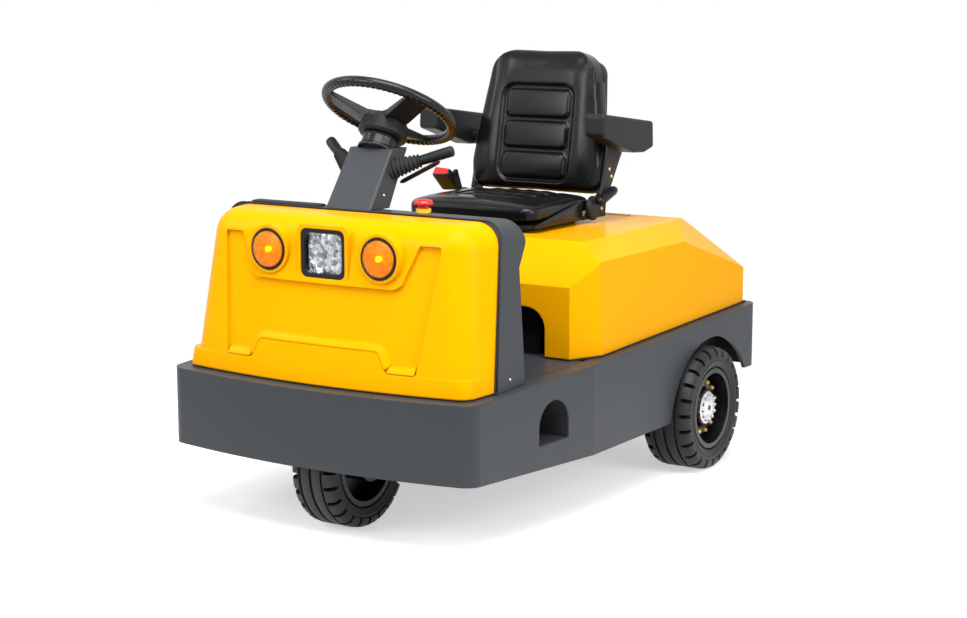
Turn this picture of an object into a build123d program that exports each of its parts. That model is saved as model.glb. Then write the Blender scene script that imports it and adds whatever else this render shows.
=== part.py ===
from build123d import *
import math
import os

os.makedirs("parts", exist_ok=True)

# Seated three-wheel tow tractor. Millimetres, +Z up, the floor at Z = 0, the front faces -Y,
# the driver's left is +X.

# ---- chassis plan -------------------------------------------------------------------------
BOW_Y = -1000.0          # foremost point of the bowed front plate
CORNER_Y = -940.0        # line of the two front corners
FOLD_Y = -300.0          # fold where the tapered front part meets the straight sides
TAIL_Y = 890.0           # outside of the rear plate
HALF_FRONT = 562.0       # half width at the front corners
HALF_SIDE = 600.0        # half width from the fold to the tail
WALL = 12.0              # steel plate of the skirt
FRONT_CORNER_R = 55.0
TAIL_CORNER_R = 45.0

# ---- chassis heights ----------------------------------------------------------------------
RIM_TAIL_Z = 522.0       # top of the skirt's rim and of the floor plate at the tail
RIM_SLOPE = 0.030        # fall of the rim towards the front
RIM_T = 8.0              # thickness of the rim flange
RIM_W = 60.0             # width of the rim flange
LOW_FRONT_Z = 226.0      # lower edge of the skirt at the bow
LOW_SIDE_Z = 200.0       # lower edge of the skirt from the fold to the wheel arch
LOW_TAIL_Z = 295.0       # lower edge behind the wheel arch
DECK_T = 8.0             # deck plate under the rim

# ---- wheels -------------------------------------------------------------------------------
REAR_R = 212.0
REAR_W = 180.0
REAR_AXLE_Y = 470.0
REAR_OUT_X = 645.0       # outer side of the rear tyres
FRONT_R = 205.0
FRONT_W = 160.0
FRONT_AXLE_Y = -765.0
RIM_BEAD_R = 132.0       # radius of the tyres' seat on the rims
ARCH_Y = 530.0
ARCH_Z = 140.0
ARCH_R = 308.0

# ---- bodywork -----------------------------------------------------------------------------
GASKET_T = 6.0
HOOD_WALL = 5.0
HOOD_LOW_Z = 460.0       # lowest section that the hoods are drawn from, below the rim
FRONT_TOP_Z = 966.0
SEAM_LOW_Y = -789.0      # joint of front hood and cowl at HOOD_LOW_Z
SEAM_TOP_Y = -700.0      # and at FRONT_TOP_Z
COWL_REAR_Y = -625.0
LAMP_X = 206.0
LAMP_Z = 860.0
LAMP_R = 64.0
LAMP_TUBE_R = 74.0       # moulded tubes around the round lamps
LAMP_TUBE_Y = -893.0     # front of the tubes and of the headlamp's frame
LAMP_FACE_Y = -880.0     # plane of the lamps' mounting faces
HEADLAMP_W = 164.0
HEADLAMP_H = 148.0
REAR_HOOD_FRONT_Y = -290.0
REAR_HOOD_TAIL_Y = 868.0
REAR_TOP_Z = 842.0

# ---- driver's place -----------------------------------------------------------------------
COLUMN_X = -55.0
COLUMN_TILT = 30.0       # lean of the steering axis back from the vertical
WHEEL_Y = -462.0
WHEEL_Z = 1258.0
WHEEL_R = 205.0
WHEEL_TUBE_R = 15.0
SEAT_X = -25.0
SEAT_FRONT_Y = -60.0
SEAT_TAIL_Y = 370.0
BACK_TILT = 10.0


PAST = 100.0             # how far cutting shapes reach past the body
FAR_TOP_Z = WHEEL_Z + 2 * WHEEL_R
CUT_HALF = HALF_SIDE + PAST


def save(part, label):
    part.label = label
    export_step(part, "parts/" + label + ".step")


def rim_z(y):
    """Height of the rim's sloping plane at Y."""
    return RIM_TAIL_Z - RIM_SLOPE * (TAIL_Y - y)


def rim_region(lift, up):
    """Side view, as Y and Z, of all that lies over the rim's plane moved up by lift, or under it."""
    front = BOW_Y - PAST
    tail = TAIL_Y + PAST
    far_z = FAR_TOP_Z if up else -PAST
    with BuildSketch() as region:
        with BuildLine():
            Polyline(
                (front, rim_z(front) + lift), (tail, rim_z(tail) + lift), (tail, far_z), (front, far_z),
                (front, rim_z(front) + lift),
            )
        make_face()
    return region.sketch


# Step pockets let into both side plates, flat floor and round top
POCKET_Y = -520.0
POCKET_LOW_Z = 285.0
POCKET_W = 160.0
POCKET_H = 130.0
POCKET_DEEP = HALF_SIDE - 480


def pocket_outline(grow):
    """Mouth of a step pocket as Y and Z in a flat sketch: flat floor, round top, grown on all sides."""
    half = POCKET_W / 2 + grow
    spring_z = POCKET_LOW_Z + POCKET_H - POCKET_W / 2
    floor_z = POCKET_LOW_Z - grow
    with BuildSketch() as outline:
        with BuildLine():
            Polyline(
                (POCKET_Y - half, spring_z), (POCKET_Y - half, floor_z), (POCKET_Y + half, floor_z),
                (POCKET_Y + half, spring_z),
            )
            ThreePointArc((POCKET_Y + half, spring_z), (POCKET_Y, spring_z + half), (POCKET_Y - half, spring_z))
        make_face()
    return outline.sketch


# ===========================================================================================
# Chassis: the skirt is one bent and welded plate with a flanged rim
# ===========================================================================================
# Axis of the two hinges that the rear hood tips back on
HINGE_X = 330.0
HINGE_Y = TAIL_Y - 11
HINGE_Z = rim_z(HINGE_Y) + 6.5
HINGE_W = 60.0           # width of a hinge's middle knuckle

with BuildSketch() as skirt_plan:
    with BuildLine():
        ThreePointArc((-HALF_FRONT, CORNER_Y), (0, BOW_Y), (HALF_FRONT, CORNER_Y))
        Polyline(
            (HALF_FRONT, CORNER_Y), (HALF_SIDE, FOLD_Y), (HALF_SIDE, TAIL_Y),
            (-HALF_SIDE, TAIL_Y), (-HALF_SIDE, FOLD_Y), (-HALF_FRONT, CORNER_Y),
        )
    make_face()
    fillet(skirt_plan.vertices().group_by(Axis.Y)[0], FRONT_CORNER_R)
    fillet(skirt_plan.vertices().group_by(Axis.Y)[-1], TAIL_CORNER_R)

# Room inside the plate, up to the underside of the rim flange
with BuildPart() as skirt_hollow:
    with BuildSketch(Plane.XY.offset(LOW_SIDE_Z - 1)):
        offset(skirt_plan.face(), -WALL)
    extrude(amount=RIM_TAIL_Z - LOW_SIDE_Z)
    with BuildSketch(Plane.YZ.offset(-CUT_HALF)):
        add(rim_region(-RIM_T, True))
    extrude(amount=2 * CUT_HALF, mode=Mode.SUBTRACT)

with BuildPart() as chassis_skirt:
    with BuildSketch(Plane.XY.offset(LOW_SIDE_Z)):
        add(skirt_plan.sketch)
    extrude(amount=RIM_TAIL_Z - LOW_SIDE_Z)
    with BuildSketch(Plane.YZ.offset(-CUT_HALF)):
        add(rim_region(0, True))
    extrude(amount=2 * CUT_HALF, mode=Mode.SUBTRACT)
    # Opening inside the rim flange, then the hollow under it
    with BuildSketch(Plane.XY.offset(LOW_SIDE_Z)):
        offset(skirt_plan.face(), -RIM_W)
    extrude(amount=RIM_TAIL_Z - LOW_SIDE_Z, mode=Mode.SUBTRACT)
    add(skirt_hollow.part, mode=Mode.SUBTRACT)
    # Lower edge rises towards the bow and behind the arch
    with BuildSketch(Plane.YZ.offset(-CUT_HALF)):
        with BuildLine():
            Polyline(
                (BOW_Y - 20, LOW_SIDE_Z - 20), (FOLD_Y, LOW_SIDE_Z - 20), (FOLD_Y, LOW_SIDE_Z),
                (CORNER_Y, LOW_FRONT_Z), (BOW_Y - 20, LOW_FRONT_Z), (BOW_Y - 20, LOW_SIDE_Z - 20),
            )
        make_face()
    extrude(amount=2 * CUT_HALF, mode=Mode.SUBTRACT)
    with BuildSketch(Plane.YZ.offset(-CUT_HALF)):
        with Locations((ARCH_Y, ARCH_Z)):
            Circle(ARCH_R)
        with BuildLine():
            Polyline(
                (ARCH_Y, LOW_SIDE_Z - 20), (TAIL_Y + 20, LOW_SIDE_Z - 20), (TAIL_Y + 20, LOW_TAIL_Z),
                (ARCH_Y, LOW_TAIL_Z), (ARCH_Y, LOW_SIDE_Z - 20),
            )
        make_face()
    extrude(amount=2 * CUT_HALF, mode=Mode.SUBTRACT)
    with BuildSketch(Plane.YZ.offset(-CUT_HALF)):
        add(pocket_outline(0))
    extrude(amount=2 * CUT_HALF, mode=Mode.SUBTRACT)
    # Outer knuckles and pins of the rear hood's two hinges, welded on the tail of the rim
    for hinge_x in (-HINGE_X, HINGE_X):
        with Locations(Location((hinge_x, HINGE_Y, HINGE_Z), (0, 90, 0))):
            Cylinder(3, HINGE_W + 20)
        for side in (-1, 1):
            with Locations(Location((hinge_x + side * (HINGE_W / 2 + 15), HINGE_Y, HINGE_Z), (0, 90, 0))):
                Cylinder(7, 28)
save(chassis_skirt.part, "chassis_skirt")


# Deck plate under the rim, with the steering head that the fork's king pin turns in
BATTERY = (-160.0, 335.0, 400.0, 700.0)      # front Y, rear Y, half width, top Z
HEAD_LOW_Z = 448.0
HEAD_TOP_Z = 492.0
KING_R = 25.0
KING_TOP_Z = 474.0
with BuildPart() as deck_plate:
    with BuildSketch(Plane.XY.offset(HEAD_LOW_Z)):
        offset(skirt_plan.face(), -WALL - 0.3)
        with Locations((0, (BATTERY[0] + BATTERY[1]) / 2)):
            Rectangle(2 * BATTERY[2] + 20, BATTERY[1] - BATTERY[0] + 20, mode=Mode.SUBTRACT)
    extrude(amount=RIM_TAIL_Z - HEAD_LOW_Z)
    with BuildSketch(Plane.YZ.offset(-CUT_HALF)):
        add(rim_region(-RIM_T, True))
    extrude(amount=2 * CUT_HALF, mode=Mode.SUBTRACT)
    with BuildSketch(Plane.YZ.offset(-CUT_HALF)):
        add(rim_region(-RIM_T - DECK_T, False))
    extrude(amount=2 * CUT_HALF, mode=Mode.SUBTRACT)
    with Locations((0, FRONT_AXLE_Y, HEAD_LOW_Z)):
        Cylinder(95, 14, align=(Align.CENTER, Align.CENTER, Align.MIN))
        Cylinder(60, HEAD_TOP_Z - HEAD_LOW_Z, align=(Align.CENTER, Align.CENTER, Align.MIN))
        Cylinder(KING_R + 0.05, KING_TOP_Z + 2 - HEAD_LOW_Z, align=(Align.CENTER, Align.CENTER, Align.MIN),
                 mode=Mode.SUBTRACT)
save(deck_plate.part, "deck_plate")

# Inner frame: two rails beside the rear wheels, cross plates, the battery tray and the axle's saddles
RAIL_X = HALF_SIDE - 160
RAIL_T = 8.0
RAIL_LOW_Z = 285.0
RAIL_FRONT_Y = -560.0
RAIL_TAIL_Y = TAIL_Y - 15
with BuildPart() as inner_frame:
    rail_h = RIM_TAIL_Z - RAIL_LOW_Z
    rail_y = (RAIL_FRONT_Y + RAIL_TAIL_Y) / 2
    with Locations((RAIL_X, rail_y, RAIL_LOW_Z), (-RAIL_X, rail_y, RAIL_LOW_Z)):
        Box(RAIL_T, RAIL_TAIL_Y - RAIL_FRONT_Y, rail_h, align=(Align.CENTER, Align.CENTER, Align.MIN))
    for cross_y in (RAIL_FRONT_Y + 50, BATTERY[0] - 14, BATTERY[1] + 14, RAIL_TAIL_Y - 4):
        with Locations((0, cross_y, RAIL_LOW_Z)):
            Box(2 * RAIL_X, RAIL_T, rail_h, align=(Align.CENTER, Align.CENTER, Align.MIN))
    with Locations((0, (BATTERY[0] + BATTERY[1]) / 2, RAIL_LOW_Z)):
        Box(2 * RAIL_X, BATTERY[1] - BATTERY[0] + 28, 8, align=(Align.CENTER, Align.CENTER, Align.MIN))
    # Saddles over the axle tubes
    with BuildSketch(Plane.YZ.offset(320)) as saddle:
        with BuildLine():
            Polyline(
                (REAR_AXLE_Y - 75, 225), (REAR_AXLE_Y + 75, 225), (REAR_AXLE_Y + 110, RIM_TAIL_Z),
                (REAR_AXLE_Y - 110, RIM_TAIL_Z), (REAR_AXLE_Y - 75, 225),
            )
        make_face()
        with Locations((REAR_AXLE_Y, REAR_R)):
            Circle(45.3, mode=Mode.SUBTRACT)
    extrude(amount=16)
    mirror(about=Plane.YZ)
    with BuildSketch(Plane.YZ.offset(-CUT_HALF)):
        add(rim_region(-RIM_T - DECK_T, True))
    extrude(amount=2 * CUT_HALF, mode=Mode.SUBTRACT)
save(inner_frame.part, "inner_frame")

# Liners of the step pockets, welded inside the side plates
with BuildPart() as step_pockets:
    with BuildSketch(Plane.YZ.offset(HALF_SIDE - POCKET_DEEP - WALL)):
        add(pocket_outline(4))
    extrude(amount=POCKET_DEEP + WALL)
    with BuildSketch(Plane.YZ.offset(HALF_SIDE - POCKET_DEEP - WALL + 4)):
        add(pocket_outline(0))
    extrude(amount=POCKET_DEEP + WALL, mode=Mode.SUBTRACT)
    mirror(about=Plane.YZ)
    with BuildSketch(Plane.XY.offset(POCKET_LOW_Z - 20)):
        Rectangle(2 * CUT_HALF, 2 * (TAIL_Y - BOW_Y))
        offset(skirt_plan.face(), -WALL - 0.3, mode=Mode.SUBTRACT)
    extrude(amount=POCKET_H + 40, mode=Mode.SUBTRACT)
save(step_pockets.part, "step_pockets")

# Floor plate flush with the rim, between the cowl and the rear hood
FLOOR_FRONT_Y = COWL_REAR_Y + 4
FLOOR_TAIL_Y = REAR_HOOD_FRONT_Y + 24
with BuildPart() as floor_plate:
    with BuildSketch(Plane.XY.offset(HOOD_LOW_Z)):
        offset(skirt_plan.face(), -RIM_W - 4)
        with Locations((0, FLOOR_FRONT_Y)):
            Rectangle(2 * CUT_HALF, 2 * CUT_HALF, align=(Align.CENTER, Align.MAX), mode=Mode.SUBTRACT)
        with Locations((0, FLOOR_TAIL_Y)):
            Rectangle(2 * CUT_HALF, 2 * CUT_HALF, align=(Align.CENTER, Align.MIN), mode=Mode.SUBTRACT)
    extrude(amount=RIM_TAIL_Z - HOOD_LOW_Z)
    with BuildSketch(Plane.YZ.offset(-CUT_HALF)):
        add(rim_region(0, True))
    extrude(amount=2 * CUT_HALF, mode=Mode.SUBTRACT)
    with BuildSketch(Plane.YZ.offset(-CUT_HALF)):
        add(rim_region(-RIM_T, False))
    extrude(amount=2 * CUT_HALF, mode=Mode.SUBTRACT)
save(floor_plate.part, "floor_plate")

# Battery: one heavy block in its tray
with BuildPart() as battery:
    with Locations((0, (BATTERY[0] + BATTERY[1]) / 2, RAIL_LOW_Z + 8)):
        Box(2 * BATTERY[2], BATTERY[1] - BATTERY[0], BATTERY[3] - RAIL_LOW_Z - 8,
            align=(Align.CENTER, Align.CENTER, Align.MIN))
    fillet(battery.edges().filter_by(Axis.Z), 12)
save(battery.part, "battery")

# Black controller housing behind the opening in the front of the rear hood
BOX_FRONT_Y = REAR_HOOD_FRONT_Y + 78
BOX_TAIL_Y = BOX_FRONT_Y + 40
with BuildPart() as controller_box:
    with BuildSketch(Plane.YZ.offset(-350)):
        with BuildLine():
            Polyline(
                (BOX_FRONT_Y, rim_z(BOX_FRONT_Y) - RIM_T), (BOX_TAIL_Y, rim_z(BOX_TAIL_Y) - RIM_T),
                (BOX_TAIL_Y, 672), (BOX_FRONT_Y, 672), (BOX_FRONT_Y, rim_z(BOX_FRONT_Y) - RIM_T),
            )
        make_face()
    extrude(amount=700)
    fillet(controller_box.edges().filter_by(Axis.Y), 15)
save(controller_box.part, "controller_box")

# ===========================================================================================
# Rear axle with its drive motor, and the tail
# ===========================================================================================
TUBE_R = 45.0
TUBE_END_X = 452.0
DIFF_R = 112.0
SPINDLE_R = 30.0
MOTOR_R = 92.0
with BuildPart() as drive_axle:
    with BuildSketch(Plane.XY.offset(REAR_R)):
        with BuildLine():
            l1 = Line((0, REAR_AXLE_Y), (0, REAR_AXLE_Y + DIFF_R))
            l2 = Line(l1 @ 1, (55, REAR_AXLE_Y + DIFF_R))
            l3 = Line(l2 @ 1, (115, REAR_AXLE_Y + 62))
            l4 = Line(l3 @ 1, (170, REAR_AXLE_Y + TUBE_R))
            l5 = Line(l4 @ 1, (TUBE_END_X - 22, REAR_AXLE_Y + TUBE_R))
            l6 = Line(l5 @ 1, (TUBE_END_X - 22, REAR_AXLE_Y + 66))
            l7 = Line(l6 @ 1, (TUBE_END_X, REAR_AXLE_Y + 66))
            l8 = Line(l7 @ 1, (TUBE_END_X, REAR_AXLE_Y + SPINDLE_R))
            l9 = Line(l8 @ 1, (REAR_OUT_X - 75, REAR_AXLE_Y + SPINDLE_R))
            l10 = Line(l9 @ 1, (REAR_OUT_X - 75, REAR_AXLE_Y))
            l11 = Line(l10 @ 1, l1 @ 0)
        make_face()
    revolve(axis=Axis((0, REAR_AXLE_Y, REAR_R), (1, 0, 0)))
    mirror(about=Plane.YZ)
    with Locations(Location((0, REAR_AXLE_Y, REAR_R + 20), (-90, 0, 0))):
        Cylinder(70, 130, align=(Align.CENTER, Align.CENTER, Align.MIN))
    with Locations(Location((0, REAR_AXLE_Y + 125, REAR_R + 20), (-90, 0, 0))):
        Cylinder(MOTOR_R, 215, align=(Align.CENTER, Align.CENTER, Align.MIN))
save(drive_axle.part, "drive_axle")

# Cast jaw with two steps for the drawbar, bored for the coupling pin
COUPLER_Z = 395.0
PIN_R = 16.0
PIN_Y = 950.0
with BuildPart() as tow_coupler:
    with Locations((0, TAIL_Y, COUPLER_Z)):
        Box(190, 18, 170, align=(Align.CENTER, Align.MIN, Align.CENTER))
    for jaw_z in (-66.0, 0.0, 66.0):
        with BuildSketch(Plane.XY.offset(COUPLER_Z + jaw_z - 9)):
            with BuildLine():
                Polyline((-70, TAIL_Y + 10), (-40, PIN_Y + 8), (40, PIN_Y + 8), (70, TAIL_Y + 10), (-70, TAIL_Y + 10))
            make_face()
            with Locations((0, PIN_Y)):
                Circle(50)
        extrude(amount=18)
    with Locations((0, TAIL_Y + 10, COUPLER_Z)):
        Box(18, 12, 140, align=(Align.CENTER, Align.MIN, Align.CENTER))
    with Locations((0, PIN_Y, COUPLER_Z)):
        Cylinder(PIN_R, 200, mode=Mode.SUBTRACT)
save(tow_coupler.part, "tow_coupler")

with BuildPart() as tail_lamps:
    with Locations((470, TAIL_Y, 440), (-470, TAIL_Y, 440)):
        Box(110, 26, 60, align=(Align.CENTER, Align.MIN, Align.CENTER))
    chamfer(tail_lamps.faces().group_by(Axis.Y)[-1].edges(), 6)
save(tail_lamps.part, "tail_lamps")

# ===========================================================================================
# Wheels: solid tyres on steel rims
# ===========================================================================================


def tyre_profile(x0, y0, z0, radius, width, bead_r):
    """Half section of a solid tyre from bead to crown, around the wheel's axis along X."""
    w = width / 2
    return [
        (x0 - w + 22, bead_r), (x0 + w - 22, bead_r), (x0 + w - 20, bead_r + 9), (x0 + w - 8, bead_r + 11),
        (x0 + w, bead_r + 32), (x0 + w, radius - 28), (x0 + w - 7, radius - 8), (x0 + w - 18, radius),
        (x0 - w + 18, radius), (x0 - w + 7, radius - 8), (x0 - w, radius - 28), (x0 - w, bead_r + 32),
        (x0 - w + 8, bead_r + 11), (x0 - w + 20, bead_r + 9), (x0 - w + 22, bead_r),
    ]


def rim_profile(x0, width, bead_r, dish, side):
    """Half section of a rim: band with two lips and a dished disc that runs in to the hub."""
    w = width / 2
    lip = bead_r + 6
    band = bead_r - 0.3
    d0 = x0 + side * dish
    pts = [
        (x0 - w + 10, lip), (x0 - w + 19, lip), (x0 - w + 20, band), (x0 + w - 20, band),
        (x0 + w - 19, lip), (x0 + w - 10, lip), (x0 + w - 10, bead_r - 10), (max(d0, d0 + side * 10), bead_r - 10),
        (max(d0, d0 + side * 10), HUB_R - 5), (min(d0, d0 + side * 10), HUB_R - 5),
        (min(d0, d0 + side * 10), bead_r - 10), (x0 - w + 10, bead_r - 10), (x0 - w + 10, lip),
    ]
    return pts


LUGS = 24                # shoulder blocks on each side of a tyre
LUG_IN = 15.0
LUG_DEEP = 27.0
LUG_GAP = 11.0
HUB_R = 58.0
AXLE_R = 16.0
FORK_IN_X = 92.0
# label, centre X, axle Y, radius, width, side the disc is dished from
WHEELS = [
    ("rear_left", REAR_OUT_X - REAR_W / 2, REAR_AXLE_Y, REAR_R, REAR_W, 1),
    ("rear_right", -REAR_OUT_X + REAR_W / 2, REAR_AXLE_Y, REAR_R, REAR_W, -1),
    ("front", 0.0, FRONT_AXLE_Y, FRONT_R, FRONT_W, 1),
]
for label, wx, wy, wr, ww, side in WHEELS:
    axle = Axis((0, wy, wr), (1, 0, 0))
    with BuildPart() as tyre:
        with BuildSketch(Plane(origin=(0, wy, wr), x_dir=(1, 0, 0), z_dir=(0, -1, 0))):
            with BuildLine():
                Polyline(*tyre_profile(wx, wy, wr, wr, ww, RIM_BEAD_R))
            make_face()
        revolve(axis=axle)
        # Notches leave a ring of blocks on both shoulders
        for face in (-1, 1):
            for k in range(LUGS):
                a = math.radians((k + (0.5 if face > 0 else 0.0)) * 360 / LUGS)
                out = Vector(0, math.sin(a), math.cos(a))
                foot = Vector(wx + face * (ww / 2 - LUG_IN), wy, wr) + out * (wr - LUG_DEEP)
                with Locations(Plane(origin=foot, x_dir=(face, 0, 0), z_dir=out).location):
                    Box(LUG_IN + 10, LUG_GAP, LUG_DEEP + 10, align=(Align.MIN, Align.CENTER, Align.MIN),
                        mode=Mode.SUBTRACT)
    save(tyre.part, label + "_tyre")
    with BuildPart() as rim:
        with BuildSketch(Plane(origin=(0, wy, wr), x_dir=(1, 0, 0), z_dir=(0, -1, 0))):
            with BuildLine():
                Polyline(*rim_profile(wx, ww, RIM_BEAD_R, 0.0 if label != "front" else -5.0, side))
            make_face()
        revolve(axis=axle)
        # Hub in the middle of the disc: a drum and bore for the spindle behind, or a plain tube
        with BuildSketch(Plane(origin=(0, wy, wr), x_dir=(1, 0, 0), z_dir=(0, -1, 0))):
            with BuildLine():
                if label == "front":
                    Polyline(
                        (wx - FORK_IN_X + 6, AXLE_R + 0.05), (wx - FORK_IN_X + 6, HUB_R), (wx + FORK_IN_X - 6, HUB_R),
                        (wx + FORK_IN_X - 6, AXLE_R + 0.05), (wx - FORK_IN_X + 6, AXLE_R + 0.05),
                    )
                else:
                    in_x = side * (TUBE_END_X + 1)
                    Polyline(
                        (in_x, SPINDLE_R + 0.05), (in_x, 80), (wx - side * 60, 80), (wx - side * 55, 100),
                        (wx, 100), (wx, HUB_R), (wx + side * 52, HUB_R), (wx + side * 52, 0),
                        (wx + side * 18, 0), (wx + side * 18, SPINDLE_R + 0.05), (in_x, SPINDLE_R + 0.05),
                    )
            make_face()
        revolve(axis=axle)
    save(rim.part, label + "_rim")

# Silver flange caps on the rear hubs
for label, wx, wy, wr, ww, side in WHEELS[:2]:
    with BuildPart() as cap:
        with BuildSketch(Plane(origin=(0, wy, wr), x_dir=(1, 0, 0), z_dir=(0, -1, 0))):
            with BuildLine():
                Polyline(
                    (wx + side * 52, 0), (wx + side * 52, HUB_R - 2), (wx + side * 60, HUB_R - 2),
                    (wx + side * 62, HUB_R - 6), (wx + side * 64, 30), (wx + side * 68, 26), (wx + side * 68, 0),
                    (wx + side * 52, 0),
                )
            make_face()
        revolve(axis=Axis((0, wy, wr), (1, 0, 0)))
    save(cap.part, label + "_hub_cap")

# ===========================================================================================
# Steered fork of the front wheel
# ===========================================================================================
FORK_T = 16.0
with BuildPart() as steer_fork:
    with Locations((0, FRONT_AXLE_Y, HEAD_LOW_Z - 0.3)):
        Cylinder(92, 18, align=(Align.CENTER, Align.CENTER, Align.MAX))
        Cylinder(KING_R, KING_TOP_Z - HEAD_LOW_Z, align=(Align.CENTER, Align.CENTER, Align.MIN))
    with Locations((0, FRONT_AXLE_Y, HEAD_LOW_Z - 18.3)):
        Box(2 * (FORK_IN_X + FORK_T), 120, 14, align=(Align.CENTER, Align.CENTER, Align.MAX))
    for side in (-1, 1):
        with BuildSketch(Plane.YZ.offset(side * (FORK_IN_X + FORK_T / 2) - FORK_T / 2)):
            with BuildLine():
                Polyline(
                    (FRONT_AXLE_Y - 60, HEAD_LOW_Z - 19), (FRONT_AXLE_Y + 60, HEAD_LOW_Z - 19),
                    (FRONT_AXLE_Y + 45, FRONT_R), (FRONT_AXLE_Y - 45, FRONT_R),
                    (FRONT_AXLE_Y - 60, HEAD_LOW_Z - 19),
                )
            make_face()
            with Locations((FRONT_AXLE_Y, FRONT_R)):
                Circle(45)
                Circle(AXLE_R + 0.3, mode=Mode.SUBTRACT)
        extrude(amount=FORK_T)
save(steer_fork.part, "steer_fork")

with BuildPart() as front_axle:
    with Locations(Location((0, FRONT_AXLE_Y, FRONT_R), (0, 90, 0))):
        Cylinder(AXLE_R, 2 * (FORK_IN_X + FORK_T) + 40)
    for side in (-1, 1):
        with Locations(Location((side * (FORK_IN_X + FORK_T + 10), FRONT_AXLE_Y, FRONT_R), (0, 90, 0))):
            with BuildSketch(Plane(origin=(side * (FORK_IN_X + FORK_T), FRONT_AXLE_Y, FRONT_R), z_dir=(side, 0, 0))):
                RegularPolygon(26, 6)
            extrude(amount=16)
save(front_axle.part, "front_axle")

# ===========================================================================================
# Front hood: a hollow moulding, its bowed face and its sides lean in towards the top
# ===========================================================================================
# One horizontal section of the hood: Z, Y of the bowed face's middle, Y of its corners, half width
# at the corners, how far the back is inside the cowl's outline, corner radius
FRONT_SECTIONS = [
    (HOOD_LOW_Z, -954.0, -902.0, 522.0, 8.0, 118.0),
    (FRONT_TOP_Z, -861.0, -835.0, 464.0, 5.0, 95.0),
]
TOP_ROUND = 84.0         # rounding of the face and sides into the top
# The same for the foot: its corners are tighter, so that a crescent shelf shows on both sides
FOOT_SECTIONS = [
    (HOOD_LOW_Z, -953.5, -906.0, 527.0, 7.7, 48.0),
    (528.0, -941.0, -897.0, 519.0, 7.7, 48.0),
]
COWL_HALF = 549.0        # half width of the cowl at HOOD_LOW_Z
COWL_LEAN = 40.0         # how far its sides lean in up to its top
COWL_TOP_Z = FRONT_TOP_Z + 4
SEAM_LEAN = (SEAM_TOP_Y - SEAM_LOW_Y) / (FRONT_TOP_Z - HOOD_LOW_Z)


def seam_y(z):
    """Y of the leaning joint plane between the front hood and the cowl."""
    return SEAM_LOW_Y + (z - HOOD_LOW_Z) * SEAM_LEAN


def hood_section(z, face_y, corner_y, half_corner, back_in, corner_r, inset, back_out):
    """Closed horizontal section of the front hood, moved in by the wall and on at the open back."""
    half_back = COWL_HALF - COWL_LEAN * (z - HOOD_LOW_Z) / (COWL_TOP_Z - HOOD_LOW_Z) - back_in
    back_y = seam_y(z) + back_out
    with BuildSketch(Plane.XY.offset(z)) as section:
        with BuildLine():
            ThreePointArc(
                (-half_corner + inset, corner_y + inset), (0, face_y + inset), (half_corner - inset, corner_y + inset)
            )
            Polyline(
                (half_corner - inset, corner_y + inset), (half_back - inset, back_y),
                (-half_back + inset, back_y), (-half_corner + inset, corner_y + inset),
            )
        make_face()
        fillet(section.vertices().group_by(Axis.Y)[0], corner_r - inset)
    return section.sketch


def hood_loft(inset, back_out):
    """Solid between the hood's sections with its rounded top, moved in by the wall for the cavity."""
    with BuildPart() as body:
        for z, face_y, corner_y, half_corner, back_in, corner_r in FRONT_SECTIONS:
            z_in = z - inset if z > HOOD_LOW_Z else z
            add(hood_section(z_in, face_y, corner_y, half_corner, back_in, corner_r, inset, back_out))
        loft()
        fillet(body.edges().group_by(Axis.Z)[-1].group_by(Axis.Y)[:-1], TOP_ROUND - inset)
    return body.part


# Panel sunk into the face: a wide trapezoid around the raised lamp field, over the raised lower ledge
PANEL_TOP_Z = 903.0
PANEL_LOW_Z = 530.0
PANEL_DEEP = 11.0
with BuildSketch() as sunk_panel:
    with BuildLine():
        Polyline(
            (-353, PANEL_LOW_Z), (-250, PANEL_LOW_Z), (-220, PANEL_LOW_Z + 60), (220, PANEL_LOW_Z + 60),
            (250, PANEL_LOW_Z), (353, PANEL_LOW_Z), (402, PANEL_TOP_Z), (330, PANEL_TOP_Z), (280, 785),
            (255, 770), (-255, 770), (-280, 785), (-330, PANEL_TOP_Z), (-402, PANEL_TOP_Z), (-353, PANEL_LOW_Z),
        )
    make_face()
    fillet(sunk_panel.vertices(), 9)


def panel_block(grow, deep, inset, back_out):
    """What the sunk panel takes off in front of the hood's face moved back by its depth."""
    with BuildPart() as block:
        with BuildSketch(Plane.XZ.offset(-LAMP_TUBE_Y - 90)):
            if grow > 0:
                offset(sunk_panel.face(), grow)
            else:
                add(sunk_panel.sketch)
        extrude(amount=PAST + 90)
        with Locations((0, deep, 0)):
            add(hood_loft(inset, back_out), mode=Mode.SUBTRACT)
    return block.part


with BuildPart() as front_cavity:
    add(hood_loft(HOOD_WALL, 30))
    add(panel_block(HOOD_WALL, PANEL_DEEP, HOOD_WALL, 30), mode=Mode.SUBTRACT)

# Foot with tight corners under the rounder face
with BuildPart() as hood_foot:
    for row in FOOT_SECTIONS:
        add(hood_section(*row, 0, 0))
    loft()

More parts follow.
